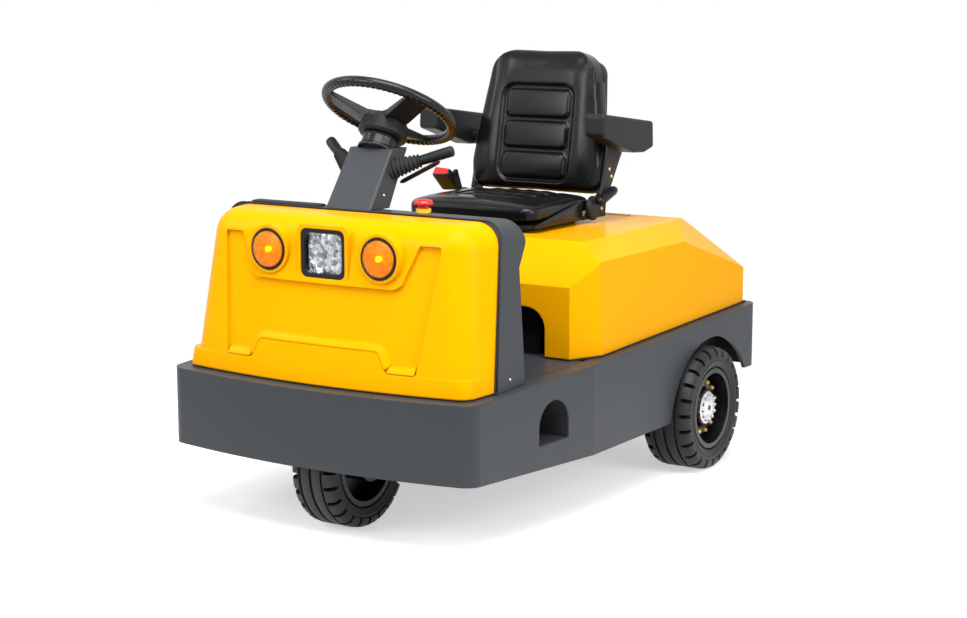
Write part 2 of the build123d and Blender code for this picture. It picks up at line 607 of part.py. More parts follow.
with BuildPart() as front_hood:
    add(hood_loft(0, 0))
    add(panel_block(0, PANEL_DEEP, 0, 0), mode=Mode.SUBTRACT)
    # Tubes around the two round lamps, the headlamp's frame between them
    with BuildSketch(Plane.XZ.offset(-LAMP_TUBE_Y)):
        with Locations((LAMP_X, LAMP_Z), (-LAMP_X, LAMP_Z)):
            Circle(LAMP_TUBE_R)
        with Locations((0, LAMP_Z)):
            RectangleRounded(HEADLAMP_W + 26, HEADLAMP_H + 24, 26)
    extrude(amount=-75)
    add(hood_foot.part)
    add(front_cavity.part, mode=Mode.SUBTRACT)
    # Openings for the two round lamps and the square headlamp
    with BuildSketch(Plane.XZ.offset(-BOW_Y)):
        with Locations((LAMP_X, LAMP_Z), (-LAMP_X, LAMP_Z)):
            Circle(LAMP_R + 0.3)
        with Locations((0, LAMP_Z)):
            RectangleRounded(HEADLAMP_W + 0.6, HEADLAMP_H + 0.6, 22)
    extrude(amount=-200, mode=Mode.SUBTRACT)
    with BuildSketch(Plane.YZ.offset(-CUT_HALF)):
        add(rim_region(GASKET_T, False))
    extrude(amount=2 * CUT_HALF, mode=Mode.SUBTRACT)
save(front_hood.part, "front_hood")

# Round direction lamps: a dark body with a domed amber lens
with BuildPart() as turn_lamps:
    with Locations(Location((LAMP_X, LAMP_FACE_Y, LAMP_Z), (90, 0, 0)), Location((-LAMP_X, LAMP_FACE_Y, LAMP_Z), (90, 0, 0))):
        Cylinder(LAMP_R - 8, 30, align=(Align.CENTER, Align.CENTER, Align.MIN))
    chamfer(turn_lamps.edges().group_by(Axis.Y)[0], 17)
save(turn_lamps.part, "turn_lamps")

with BuildPart() as lamp_bodies:
    with BuildSketch(Plane.XZ.offset(-LAMP_FACE_Y + 14)):
        with Locations((LAMP_X, LAMP_Z), (-LAMP_X, LAMP_Z)):
            Circle(LAMP_R)
            Circle(LAMP_R - 7.7, mode=Mode.SUBTRACT)
    extrude(amount=-14)
    with BuildSketch(Plane.XZ.offset(-LAMP_FACE_Y)):
        with Locations((LAMP_X, LAMP_Z), (-LAMP_X, LAMP_Z)):
            Circle(LAMP_R)
    extrude(amount=-30)

    # Square headlamp: housing recessed in the hood, its clear lens set back inside it
    with BuildSketch(Plane.XZ.offset(-LAMP_FACE_Y + 10)):
        with Locations((0, LAMP_Z)):
            RectangleRounded(HEADLAMP_W, HEADLAMP_H, 22)
    extrude(amount=-50)
    with BuildSketch(Plane.XZ.offset(-LAMP_FACE_Y + 10)):
        with Locations((0, LAMP_Z)):
            RectangleRounded(HEADLAMP_W - 26, HEADLAMP_H - 26, 20)
    extrude(amount=-30, mode=Mode.SUBTRACT)
save(lamp_bodies.part, "lamp_bodies")

with BuildPart() as headlamp_lens:
    with BuildSketch(Plane.XZ.offset(-LAMP_FACE_Y - 20)):
        with Locations((0, LAMP_Z)):
            RectangleRounded(HEADLAMP_W - 27, HEADLAMP_H - 27, 19)
    extrude(amount=20)
save(headlamp_lens.part, "headlamp_lens")

# ===========================================================================================
# Cowl: grey box behind the front hood, with the step of its rear side under the dash
# ===========================================================================================
COWL_BACK_Y = -566.0
COWL_DASH_Z = COWL_TOP_Z - 70       # where the dash's rear side begins to fall away
COWL_KNEE_Z = 826.0                 # where it meets the upright plate over the pedals

# Front view of the cowl: sides lean in, rounded shoulders
with BuildSketch() as cowl_front:
    with BuildLine():
        Polyline(
            (-COWL_HALF, HOOD_LOW_Z), (COWL_HALF, HOOD_LOW_Z), (COWL_HALF - COWL_LEAN, COWL_TOP_Z),
            (-COWL_HALF + COWL_LEAN, COWL_TOP_Z), (-COWL_HALF, HOOD_LOW_Z),
        )
    make_face()
    fillet(cowl_front.vertices().group_by(Axis.Y)[-1], 60)

with BuildPart() as dash_cowl:
    with BuildSketch(Plane.YZ.offset(-COWL_HALF)) as cowl_side:
        with BuildLine():
            Polyline(
                (seam_y(HOOD_LOW_Z) + 0.5, HOOD_LOW_Z), (seam_y(COWL_TOP_Z) + 0.5, COWL_TOP_Z),
                (COWL_BACK_Y - 40, COWL_TOP_Z), (COWL_BACK_Y, COWL_DASH_Z), (COWL_REAR_Y + 10, COWL_KNEE_Z),
                (COWL_REAR_Y, HOOD_LOW_Z), (seam_y(HOOD_LOW_Z) + 0.5, HOOD_LOW_Z),
            )
        make_face()
        fillet(cowl_side.vertices().sort_by_distance((COWL_BACK_Y, COWL_DASH_Z, 0))[0], 25)
        fillet(cowl_side.vertices().sort_by_distance((COWL_BACK_Y - 40, COWL_TOP_Z, 0))[0], 30)
    extrude(amount=2 * COWL_HALF)
    # Rounded shoulders where the sides turn into the top
    with BuildSketch(Plane.XZ.offset(-BOW_Y)):
        with Locations((0, HOOD_LOW_Z)):
            Rectangle(2 * CUT_HALF, FAR_TOP_Z)
        add(cowl_front.sketch, mode=Mode.SUBTRACT)
    extrude(amount=BOW_Y, mode=Mode.SUBTRACT)
    # Hollow towards the hood
    with BuildSketch(Plane.YZ.offset(-COWL_HALF + COWL_LEAN + 6)):
        with BuildLine():
            Polyline(
                (seam_y(HOOD_LOW_Z) - 40, HOOD_LOW_Z - 1), (seam_y(COWL_TOP_Z) - 40, COWL_TOP_Z - 56),
                (COWL_BACK_Y - 40, COWL_TOP_Z - 56), (COWL_REAR_Y - 14, COWL_KNEE_Z - 6),
                (COWL_REAR_Y - 6, HOOD_LOW_Z - 1), (seam_y(HOOD_LOW_Z) - 40, HOOD_LOW_Z - 1),
            )
        make_face()
    extrude(amount=2 * (COWL_HALF - COWL_LEAN - 6), mode=Mode.SUBTRACT)
    with BuildSketch(Plane.YZ.offset(-CUT_HALF)):
        add(rim_region(0, False))
    extrude(amount=2 * CUT_HALF, mode=Mode.SUBTRACT)
save(dash_cowl.part, "dash_cowl")

# Emergency stop: red mushroom on a yellow collar
STOP_X = 182.0
STOP_Y = -622.0
with BuildPart() as stop_collar:
    with Locations((STOP_X, STOP_Y, COWL_TOP_Z)):
        Cylinder(23, 12, align=(Align.CENTER, Align.CENTER, Align.MIN))
save(stop_collar.part, "stop_collar")
with BuildPart() as stop_button:
    with BuildSketch(Plane(origin=(STOP_X, STOP_Y, COWL_TOP_Z + 12), x_dir=(1, 0, 0), z_dir=(0, -1, 0))):
        with BuildLine():
            Polyline((0, 0), (14, 0), (16, 10), (29, 12), (30, 18), (26, 25), (12, 28), (0, 28.5), (0, 0))
        make_face()
    revolve(axis=Axis((STOP_X, STOP_Y, 0), (0, 0, 1)))
save(stop_button.part, "stop_button")

# ===========================================================================================
# Steering column, wheel and levers
# ===========================================================================================
TILT = math.radians(COLUMN_TILT)
STEER_DIR = Vector(0, math.sin(TILT), math.cos(TILT))
WHEEL_CENTRE = Vector(COLUMN_X, WHEEL_Y, WHEEL_Z)


def on_axis(distance):
    """Point on the steering axis, the distance below the wheel's centre."""
    return WHEEL_CENTRE - STEER_DIR * distance


COLUMN_TOP_Z = 1150.0
BOSS_DEEP = 92.0
with BuildPart() as column_cover:
    for z, front_y, back_y, half in ((COWL_TOP_Z, -692.0, -580.0, 85.0), (COLUMN_TOP_Z, -566.0, -478.0, 82.0)):
        with BuildSketch(Plane.XY.offset(z)) as column_section:
            with Locations((COLUMN_X, (front_y + back_y) / 2)):
                Rectangle(2 * half, back_y - front_y)
            fillet(column_section.vertices(), 9)
    loft()
    # Round neck under the steering wheel's boss
    with Locations(Plane(origin=on_axis(140), x_dir=(1, 0, 0), z_dir=STEER_DIR).location):
        Cylinder(54, 140 - BOSS_DEEP - 1, align=(Align.CENTER, Align.CENTER, Align.MIN))
save(column_cover.part, "column_cover")

# Wheel: padded rim, three flat spokes and a domed hub
WHEEL_PLANE = Plane(origin=WHEEL_CENTRE, x_dir=(1, 0, 0), z_dir=STEER_DIR)
with BuildPart() as steering_wheel:
    with Locations(WHEEL_PLANE.location):
        Torus(WHEEL_R, WHEEL_TUBE_R)
save(steering_wheel.part, "steering_wheel")

SPOKE_W = 74.0
SPOKE_END = WHEEL_R - 4
with BuildPart() as steering_hub:
    with BuildSketch(Plane(origin=WHEEL_CENTRE, x_dir=(1, 0, 0), z_dir=(WHEEL_PLANE.y_dir * -1))) as hub_profile:
        with BuildLine():
            Polyline(
                (0, -BOSS_DEEP), (70, -BOSS_DEEP), (78, -BOSS_DEEP + 8), (76, -46), (64, -28), (40, -18), (0, -14),
                (0, -BOSS_DEEP),
            )
        make_face()
    revolve(axis=Axis(WHEEL_CENTRE, STEER_DIR))
    for turn in (90, 210, 330):
        a = math.radians(turn)
        out = WHEEL_PLANE.x_dir * math.cos(a) + WHEEL_PLANE.y_dir * math.sin(a)
        with BuildSketch(Plane(origin=WHEEL_CENTRE, x_dir=out, z_dir=out.cross(STEER_DIR))):
            with BuildLine():
                Polyline((20, -60), (20, -20), (64, -24), (SPOKE_END, 6), (SPOKE_END, -6), (90, -44), (20, -60))
            make_face()
        extrude(amount=SPOKE_W / 2, both=True)
    # Spokes end 0.3 short of the rim's tube
    with Locations(WHEEL_PLANE.location):
        Torus(WHEEL_R, WHEEL_TUBE_R + 0.3, mode=Mode.SUBTRACT)
save(steering_hub.part, "steering_hub")

# Levers on the column: selector to the driver's left and right, each in a bellows
LEVERS = [
    # root, tip
    (Vector(COLUMN_X - 76, -562.0, 1078.0), Vector(COLUMN_X - 206, -500.0, 1161.0)),
    (Vector(COLUMN_X + 76, -552.0, 1088.0), Vector(COLUMN_X + 254, -480.0, 1148.0)),
]
with BuildPart() as column_levers:
    for root, tip in LEVERS:
        direction = (tip - root).normalized()
        for k in range(4):
            with Locations(Plane(origin=root + direction * (20 * k), z_dir=direction).location):
                Cone(30 - 3 * k, 23 - 3 * k, 20.3, align=(Align.CENTER, Align.CENTER, Align.MIN))
        length = (tip - root).length
        with Locations(Plane(origin=root + direction * 80, z_dir=direction).location):
            Cylinder(13, length - 80, align=(Align.CENTER, Align.CENTER, Align.MIN))
    # Flat lever under the right grip
    with BuildSketch(Plane.XZ.offset(532)):
        with BuildLine():
            Polyline(
                (COLUMN_X + 70, 1030), (COLUMN_X + 226, 1104), (COLUMN_X + 240, 1124), (COLUMN_X + 216, 1122),
                (COLUMN_X + 70, 1050), (COLUMN_X + 70, 1030),
            )
        make_face()
    extrude(amount=-26)
    add(column_cover.part, mode=Mode.SUBTRACT)
save(column_levers.part, "column_levers")

# Pedals on the floor behind the cowl
with BuildPart() as pedals:
    heel = COWL_REAR_Y + 130
    for pedal_x, width in ((110.0, 70.0), (-60.0, 90.0)):
        with BuildSketch(Plane.YZ.offset(pedal_x - width / 2)):
            with BuildLine():
                Polyline(
                    (heel - 110, rim_z(heel - 110)), (heel, rim_z(heel)), (heel, rim_z(heel) + 6),
                    (heel - 90, rim_z(heel) + 70), (heel - 100, rim_z(heel) + 62), (heel - 110, rim_z(heel - 110)),
                )
            make_face()
        extrude(amount=width)
save(pedals.part, "pedals")

# ===========================================================================================
# Rear hood: hollow moulding with chamfered front corners, shoulders and a sloping tail
# ===========================================================================================


REAR_HALF = 566.0
REAR_FACET_X = 505.0     # half width of the front between its corner facets
REAR_KINK_Z = 720.0      # where the upright front begins to lean back
REAR_RIDGE_Y = -120.0    # front edge of the top
SHOULDER_Z = 792.0
SHOULDER_X = 450.0
# Three points of the plane that bevels the tail's shoulders
TAIL_BEVEL = [(558.0, 390.0, 792.0), (558.0, 786.0, 672.0), (420.0, 630.0, 842.0)]


def rear_hood_solid(inset, low_z):
    """Crossing of the hood's plan, side profile and front profile, each moved in by the wall."""
    f = REAR_HOOD_FRONT_Y + inset
    t = REAR_HOOD_TAIL_Y - inset
    h = REAR_HALF - inset
    top = REAR_TOP_Z - inset
    with BuildPart() as solid:
        with BuildSketch(Plane.XY.offset(low_z)) as plan:
            with BuildLine():
                Polyline(
                    (-REAR_FACET_X, f), (REAR_FACET_X, f), (h, f + 105), (h, t), (-h, t), (-h, f + 105),
                    (-REAR_FACET_X, f),
                )
            make_face()
            fillet(plan.vertices().group_by(Axis.Y)[-1], 36 - inset)
        extrude(amount=top - low_z)
        # Side profile: upright front that leans back over the kink, level top, sloping tail
        with BuildSketch(Plane.YZ.offset(-CUT_HALF)) as side_cut:
            with BuildLine():
                Polyline(
                    (f - 50, low_z - 5), (f, low_z - 5), (f, REAR_KINK_Z), (REAR_RIDGE_Y + inset, top),
                    (630, top), (t - 30, 660 - inset), (t, 618), (t, low_z - 5), (t + 50, low_z - 5),
                    (t + 50, top + 50), (f - 50, top + 50), (f - 50, low_z - 5),
                )
            make_face()
            fillet(side_cut.vertices().sort_by_distance((t - 30, 660 - inset, 0))[0], 30)
            fillet(side_cut.vertices().sort_by_distance((630, top, 0))[0], 60)
        extrude(amount=2 * CUT_HALF, mode=Mode.SUBTRACT)
        # Front profile: slightly leaning sides and bevelled shoulders
        with BuildSketch(Plane.XZ.offset(-BOW_Y)):
            for side in (-1, 1):
                with BuildLine():
                    Polyline(
                        (side * h, low_z - 5), (side * (h - 8), SHOULDER_Z - inset), (side * (SHOULDER_X - inset), top),
                        (side * (SHOULDER_X - inset), top + 50), (side * (h + 60), top + 50),
                        (side * (h + 60), low_z - 5), (side * h, low_z - 5),
                    )
                make_face()
        extrude(amount=-2 * (TAIL_Y - BOW_Y), mode=Mode.SUBTRACT)
        # Tail shoulders: one slanting plane on each side
        a, b, c = (Vector(*point) for point in TAIL_BEVEL)
        normal = (b - a).cross(c - a).normalized()
        with BuildSketch(Plane(origin=a - normal * inset, z_dir=normal)):
            Rectangle(3 * REAR_TOP_Z, 3 * REAR_TOP_Z)
        extrude(amount=REAR_TOP_Z, mode=Mode.SUBTRACT)
        across = Vector(-normal.X, normal.Y, normal.Z)
        with BuildSketch(Plane(origin=Vector(-a.X, a.Y, a.Z) - across * inset, z_dir=across)):
            Rectangle(3 * REAR_TOP_Z, 3 * REAR_TOP_Z)
        extrude(amount=REAR_TOP_Z, mode=Mode.SUBTRACT)
    return solid.part


with BuildPart() as rear_hood:
    add(rear_hood_solid(0, HOOD_LOW_Z))
    add(rear_hood_solid(HOOD_WALL, HOOD_LOW_Z - 10), mode=Mode.SUBTRACT)
    # Rounded opening in front of the controller
    with BuildSketch(Plane.XZ.offset(-REAR_HOOD_FRONT_Y + 50)):
        with Locations((0, 538)):
            RectangleRounded(830, 220, 70)
    extrude(amount=-80, mode=Mode.SUBTRACT)
    with BuildSketch(Plane.YZ.offset(-CUT_HALF)):
        add(rim_region(GASKET_T, False))
    extrude(amount=2 * CUT_HALF, mode=Mode.SUBTRACT)
    # Middle knuckles of the hinges with their leaves on the tail
    for hinge_x in (-HINGE_X, HINGE_X):
        with Locations((hinge_x, REAR_HOOD_TAIL_Y - 3, HINGE_Z)):
            Box(HINGE_W - 1, HINGE_Y - REAR_HOOD_TAIL_Y + 3, 6, align=(Align.CENTER, Align.MIN, Align.MIN))
        with Locations(Location((hinge_x, HINGE_Y, HINGE_Z), (0, 90, 0))):
            Cylinder(6.2, HINGE_W - 1)
            Cylinder(3.05, HINGE_W, mode=Mode.SUBTRACT)
    # Shallow panel behind the seat
    with BuildSketch(Plane.XY.offset(REAR_TOP_Z - 2.5)):
        with Locations((SEAT_X, 520)):
            RectangleRounded(560, 130, 25)
    extrude(amount=10, mode=Mode.SUBTRACT)
save(rear_hood.part, "rear_hood")

# Black gasket strips that both hoods sit on
REAR_FOOT_X = REAR_HALF - 2
with BuildPart() as hood_gaskets:
    with BuildSketch(Plane.XY.offset(HOOD_LOW_Z)):
        add(hood_section(*FOOT_SECTIONS[0], 4, -2))
        add(hood_section(*FOOT_SECTIONS[0], 12, 30), mode=Mode.SUBTRACT)
    extrude(amount=RIM_TAIL_Z + GASKET_T - HOOD_LOW_Z)
    for grow, mode in ((0.0, Mode.ADD), (8.0, Mode.SUBTRACT)):
        f = REAR_HOOD_FRONT_Y + 2 + grow
        t = REAR_HOOD_TAIL_Y - 2 - grow
        h = REAR_FOOT_X - grow
        with BuildSketch(Plane.XY.offset(HOOD_LOW_Z)):
            with BuildLine():
                Polyline(
                    (-REAR_FACET_X, f), (REAR_FACET_X, f), (h, f + 105), (h, t), (-h, t), (-h, f + 105),
                    (-REAR_FACET_X, f),
                )
            make_face()
        extrude(amount=RIM_TAIL_Z + GASKET_T - HOOD_LOW_Z, mode=mode)
    with Locations((0, REAR_HOOD_FRONT_Y, HOOD_LOW_Z)):
        Box(834, 40, 2 * PAST, mode=Mode.SUBTRACT)
    with BuildSketch(Plane.YZ.offset(-CUT_HALF)):
        add(rim_region(GASKET_T, True))
        add(rim_region(0, False))
    extrude(amount=2 * CUT_HALF, mode=Mode.SUBTRACT)
save(hood_gaskets.part, "hood_gaskets")

# ===========================================================================================
# Seat on the rear hood
# ===========================================================================================
SEAT_HALF = 250.0
PAN_Z = REAR_TOP_Z + 14.0
CUSHION_Z = 868.0
CUSHION_TOP_Z = 936.0
BACK = math.radians(BACK_TILT)
BACK_HALF = SEAT_HALF - 12
BACK_H = 462.0
BACK_T = 90.0
SHELL_T = 40.0
BACK_FOOT = Vector(SEAT_X, 352.0, 958.0)
# Plane of the backrest's front: its X runs to the driver's left, its Y up the leaning back
BACK_PLANE = Plane(origin=BACK_FOOT, x_dir=(1, 0, 0), z_dir=(0, -math.cos(BACK), math.sin(BACK)))

# Steel pan on two slide rails
PIVOT_Y = 402.0
PIVOT_Z = 934.0
with BuildPart() as seat_base:
    for rail_x in (-170.0, 170.0):
        with Locations((SEAT_X + rail_x, (SEAT_FRONT_Y + SEAT_TAIL_Y) / 2, REAR_TOP_Z)):
            Box(38, 360, 14, align=(Align.CENTER, Align.CENTER, Align.MIN))
    with BuildSketch(Plane.XY.offset(PAN_Z)):
        with Locations((SEAT_X, (SEAT_FRONT_Y + SEAT_TAIL_Y) / 2)):
            RectangleRounded(2 * SEAT_HALF, SEAT_TAIL_Y - SEAT_FRONT_Y - 20, 50)
    extrude(amount=CUSHION_Z - 0.3 - PAN_Z)
    # Hinge brackets outside the cushion carry the backrest's pivot
    for side in (-1, 1):
        with BuildSketch(Plane.YZ.offset(SEAT_X + side * (SEAT_HALF + 4.3) - 4)):
            with BuildLine():
                Polyline(
                    (270, PAN_Z), (420, PAN_Z), (PIVOT_Y + 28, PIVOT_Z + 6), (PIVOT_Y - 28, PIVOT_Z + 6), (270, PAN_Z),
                )
            make_face()
            with Locations((PIVOT_Y, PIVOT_Z)):
                Circle(28)
        extrude(amount=8)
        with Locations((SEAT_X + side * (SEAT_HALF - 20), 310, PAN_Z)):
            Box(50, 70, CUSHION_Z - 0.3 - PAN_Z, align=(Align.CENTER, Align.CENTER, Align.MIN))
save(seat_base.part, "seat_base")

# Soft cushion, rounded all over
with BuildPart() as seat_cushion:
    with BuildSketch(Plane.XY.offset(CUSHION_Z)):
        with Locations((SEAT_X, (SEAT_FRONT_Y + SEAT_TAIL_Y - 20) / 2)):
            RectangleRounded(2 * SEAT_HALF, SEAT_TAIL_Y - SEAT_FRONT_Y - 20, 50)
    extrude(amount=CUSHION_TOP_Z - CUSHION_Z)
    fillet(seat_cushion.faces().sort_by(Axis.Z)[-1].edges(), 30)
save(seat_cushion.part, "seat_cushion")

# Soft backrest and the plastic shell behind it
with BuildPart() as backrest:
    with BuildSketch(BACK_PLANE) as back_outline:
        with BuildLine():
            Polyline(
                (-BACK_HALF + 12, 0), (BACK_HALF - 12, 0), (BACK_HALF, 90), (BACK_HALF - 34, BACK_H),
                (-BACK_HALF + 34, BACK_H), (-BACK_HALF, 90), (-BACK_HALF + 12, 0),
            )
        make_face()
        fillet(back_outline.vertices().group_by(Axis.Y)[-1], 60)
        fillet(back_outline.vertices().group_by(Axis.Y)[0], 40)
    extrude(amount=-BACK_T)
    fillet(backrest.faces().sort_by(Axis(BACK_FOOT, BACK_PLANE.z_dir))[-1].edges(), 30)
save(backrest.part, "backrest")

with BuildPart() as back_shell:
    with BuildSketch(BACK_PLANE.offset(-BACK_T - 0.3)) as shell_outline:
        with BuildLine():
            Polyline(
                (-BACK_HALF + 26, 16), (BACK_HALF - 26, 16), (BACK_HALF - 14, 90), (BACK_HALF - 46, BACK_H - 14),
                (-BACK_HALF + 46, BACK_H - 14), (-BACK_HALF + 14, 90), (-BACK_HALF + 26, 16),
            )
        make_face()
        fillet(shell_outline.vertices().group_by(Axis.Y)[-1], 50)
        fillet(shell_outline.vertices().group_by(Axis.Y)[0], 30)
    extrude(amount=-SHELL_T)
    fillet(back_shell.faces().sort_by(Axis(BACK_FOOT, BACK_PLANE.z_dir))[0].edges(), 14)
save(back_shell.part, "back_shell")

# Arms that rise from the pivot and hold the backrest's shell and the armrests
ARM_PIVOT_Y = 455.0
ARM_PIVOT_Z = 1110.0
TUBE_Z = 1098.0
TUBE_Y = BACK_FOOT.Y + (TUBE_Z - BACK_FOOT.Z) * math.tan(BACK) + (BACK_T + SHELL_T + 11.6) / math.cos(BACK)
with BuildPart() as back_frame:
    for side in (-1, 1):
        with BuildSketch(Plane.YZ.offset(SEAT_X + side * (SEAT_HALF + 12.6) - 4)):
            with BuildLine():
                Polyline(
                    (PIVOT_Y - 26, PIVOT_Z), (PIVOT_Y + 26, PIVOT_Z), (TUBE_Y + 20, TUBE_Z),
                    (TUBE_Y, TUBE_Z + 20), (ARM_PIVOT_Y, ARM_PIVOT_Z + 30), (ARM_PIVOT_Y - 30, ARM_PIVOT_Z),
                    (PIVOT_Y - 26, PIVOT_Z),
                )
            make_face()
            with Locations((PIVOT_Y, PIVOT_Z)):
                Circle(26)
            with Locations((ARM_PIVOT_Y, ARM_PIVOT_Z)):
                Circle(30)
            with Locations((TUBE_Y, TUBE_Z)):
                Circle(20)
        extrude(amount=8)
    # Cross tube behind the shell
    with Locations(Location((SEAT_X, TUBE_Y, TUBE_Z), (0, 90, 0))):
        Cylinder(11, 2 * SEAT_HALF + 20)
save(back_frame.part, "back_frame")

# Fold-up armrests: tapered pads with a round boss at the pivot
ARM_FRONT_Y = 200.0
ARM_BOSS = 30.0          # length of the boss between the arm plate and the pad
ARM_W = 75.0
for label, side in (("armrest_left", 1), ("armrest_right", -1)):
    with BuildPart() as armrest:
        x0 = SEAT_X + side * (SEAT_HALF + 16.9 + ARM_BOSS)
        with BuildSketch(Plane.YZ.offset(x0 if side > 0 else x0 - ARM_W)) as arm_side:
            with BuildLine():
                Polyline(
                    (ARM_FRONT_Y, ARM_PIVOT_Z + 40), (ARM_FRONT_Y + 4, ARM_PIVOT_Z + 115),
                    (ARM_PIVOT_Y + 100, ARM_PIVOT_Z + 70), (ARM_PIVOT_Y + 104, ARM_PIVOT_Z - 20),
                    (ARM_PIVOT_Y + 40, ARM_PIVOT_Z - 34), (ARM_PIVOT_Y - 30, ARM_PIVOT_Z - 30),
                    (ARM_FRONT_Y, ARM_PIVOT_Z + 40),
                )
            make_face()
            fillet(arm_side.vertices(), 14)
        extrude(amount=ARM_W)
        fillet(armrest.edges().filter_by(Axis.X, reverse=True), 9)
        with Locations(Location((x0 + side * 5, ARM_PIVOT_Y, ARM_PIVOT_Z), (0, -side * 90, 0))):
            Cylinder(22, ARM_BOSS + 5, align=(Align.CENTER, Align.CENTER, Align.MIN))
    save(armrest.part, label)

# Round covers over the hinges and the recline lever on the driver's left
with BuildPart() as hinge_covers:
    for side in (-1, 1):
        with Locations(Location((SEAT_X + side * (SEAT_HALF + 8.6), 322, 893), (0, side * 90, 0))):
            Cylinder(42, 16, align=(Align.CENTER, Align.CENTER, Align.MIN))
    chamfer(hinge_covers.edges().filter_by(GeomType.CIRCLE).sort_by(Axis.X)[-1], 6)
    chamfer(hinge_covers.edges().filter_by(GeomType.CIRCLE).sort_by(Axis.X)[0], 6)
    # Recline lever, fixed to the left cover
    with BuildSketch(Plane.YZ.offset(SEAT_X + SEAT_HALF + 24.6)):
        with BuildLine():
            Polyline((330, 930), (420, 958), (428, 934), (340, 906), (330, 930))
        make_face()
    extrude(amount=24)
save(hinge_covers.part, "hinge_covers")

# Belt buckle on its stalk at the driver's right
with BuildPart() as belt_buckle:
    with BuildSketch(Plane.YZ.offset(SEAT_X - SEAT_HALF - 24.9 - 12)):
        with BuildLine():
            Polyline((330, 890), (352, 884), (300, 1000), (262, 985), (330, 890))
        make_face()
    extrude(amount=12)
save(belt_buckle.part, "belt_buckle")
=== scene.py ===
# %% [markdown]
# # A three-wheel tow tractor in a studio
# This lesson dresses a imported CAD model. The CAD gives every plate, wheel and hinge its size and place,
# and Blender adds what a machine shop drawing leaves out: paint, rubber, padding, tread and small bolts.
# Everything is in metres, with the ground at Z = 0, the front towards -Y and the driver's left towards +X.

import math

import bmesh
import bpy
import numpy as np
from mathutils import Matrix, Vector


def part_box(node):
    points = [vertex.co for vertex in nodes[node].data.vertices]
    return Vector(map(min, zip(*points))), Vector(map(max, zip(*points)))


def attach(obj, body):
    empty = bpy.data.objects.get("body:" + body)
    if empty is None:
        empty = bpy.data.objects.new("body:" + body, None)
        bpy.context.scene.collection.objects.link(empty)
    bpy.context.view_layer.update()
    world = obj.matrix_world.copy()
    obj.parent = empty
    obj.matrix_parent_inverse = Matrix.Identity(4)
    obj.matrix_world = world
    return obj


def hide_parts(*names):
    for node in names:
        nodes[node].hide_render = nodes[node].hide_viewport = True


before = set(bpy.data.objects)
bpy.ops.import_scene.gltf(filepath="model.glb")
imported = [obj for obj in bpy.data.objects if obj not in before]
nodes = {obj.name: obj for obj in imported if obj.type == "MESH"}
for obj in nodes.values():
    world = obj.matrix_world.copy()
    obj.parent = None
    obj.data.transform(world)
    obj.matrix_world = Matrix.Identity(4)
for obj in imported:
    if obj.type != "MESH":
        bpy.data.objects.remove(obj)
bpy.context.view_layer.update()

# %% [markdown]
# ## Camera
# A long lens from a few metres away keeps the tractor's edges nearly parallel, as product pictures do.
# The camera stands at the front left, a little above the seat, and looks slightly down. It is turned by
# two angles, which are easier to reason about than a tracking constraint.

# %% Camera
CAMERA_PLACE = (3.591, -5.618, 1.692)
CAMERA_TURN_DEG = 32.58
CAMERA_DOWN_DEG = 9.58
LENS_MM, FILM_MM = 74.46, 36.0
camera_data = bpy.data.cameras.new("camera")
camera_data.lens, camera_data.sensor_width = LENS_MM, FILM_MM
camera = bpy.data.objects.new("camera", camera_data)
camera.location = CAMERA_PLACE
camera.rotation_euler = (math.radians(90 - CAMERA_DOWN_DEG), 0, math.radians(CAMERA_TURN_DEG))
bpy.context.collection.objects.link(camera)
bpy.context.scene.camera = camera
print("camera at", CAMERA_PLACE)

# %% [markdown]
# ## Nodes by short calls
# A material is a small graph of nodes, and each node takes several lines to make, set and link. The two
# helpers below make a node with its values in one call and link many sockets in one list, so that the
# graphs further down read as what they are.


# %% Node helpers
def add_node(tree, kind, **values):
    """New shader node. A value goes to the input of its name, with _ for a space, or else to a setting."""
    node = tree.nodes.new("ShaderNode" + kind)
    for label, value in values.items():
        socket = label.replace("_", " ")
        if socket in node.inputs:
            node.inputs[socket].default_value = value
        else:
            setattr(node, label, value)
    return node


def link_all(tree, *pairs):
    """Link each pair of an output and an input."""
    for source, target in pairs:
        tree.links.new(source, target)


def new_material(name):
    """Empty node material with its output node; gives back (material, tree, output)."""
    material = bpy.data.materials.new(name)
    material.use_nodes = True
    tree = material.node_tree
    tree.nodes.clear()
    return material, tree, add_node(tree, "OutputMaterial")


def seen_directly(tree):
    """Mask that is 1 for camera, glossy and transmission rays: the larger of the three Light Path flags."""
    path = add_node(tree, "LightPath")
    first = add_node(tree, "Math", operation="MAXIMUM")
    second = add_node(tree, "Math", operation="MAXIMUM")
    link_all(
        tree,
        (path.outputs["Is Camera Ray"], first.inputs[0]),
        (path.outputs["Is Glossy Ray"], first.inputs[1]),
        (first.outputs[0], second.inputs[0]),
        (path.outputs["Is Transmission Ray"], second.inputs[1]),
    )
    return second.outputs[0]


print("node helpers ready")

# %% [markdown]
# ## Floor
# The floor is a plain sheet that takes the tractor's shadow. Camera, glossy and transmitted rays also see a
# little light from the sheet itself, and further out it turns into plain white, so that it meets the
# backdrop without a line. Nothing of that reaches the tractor as extra light.

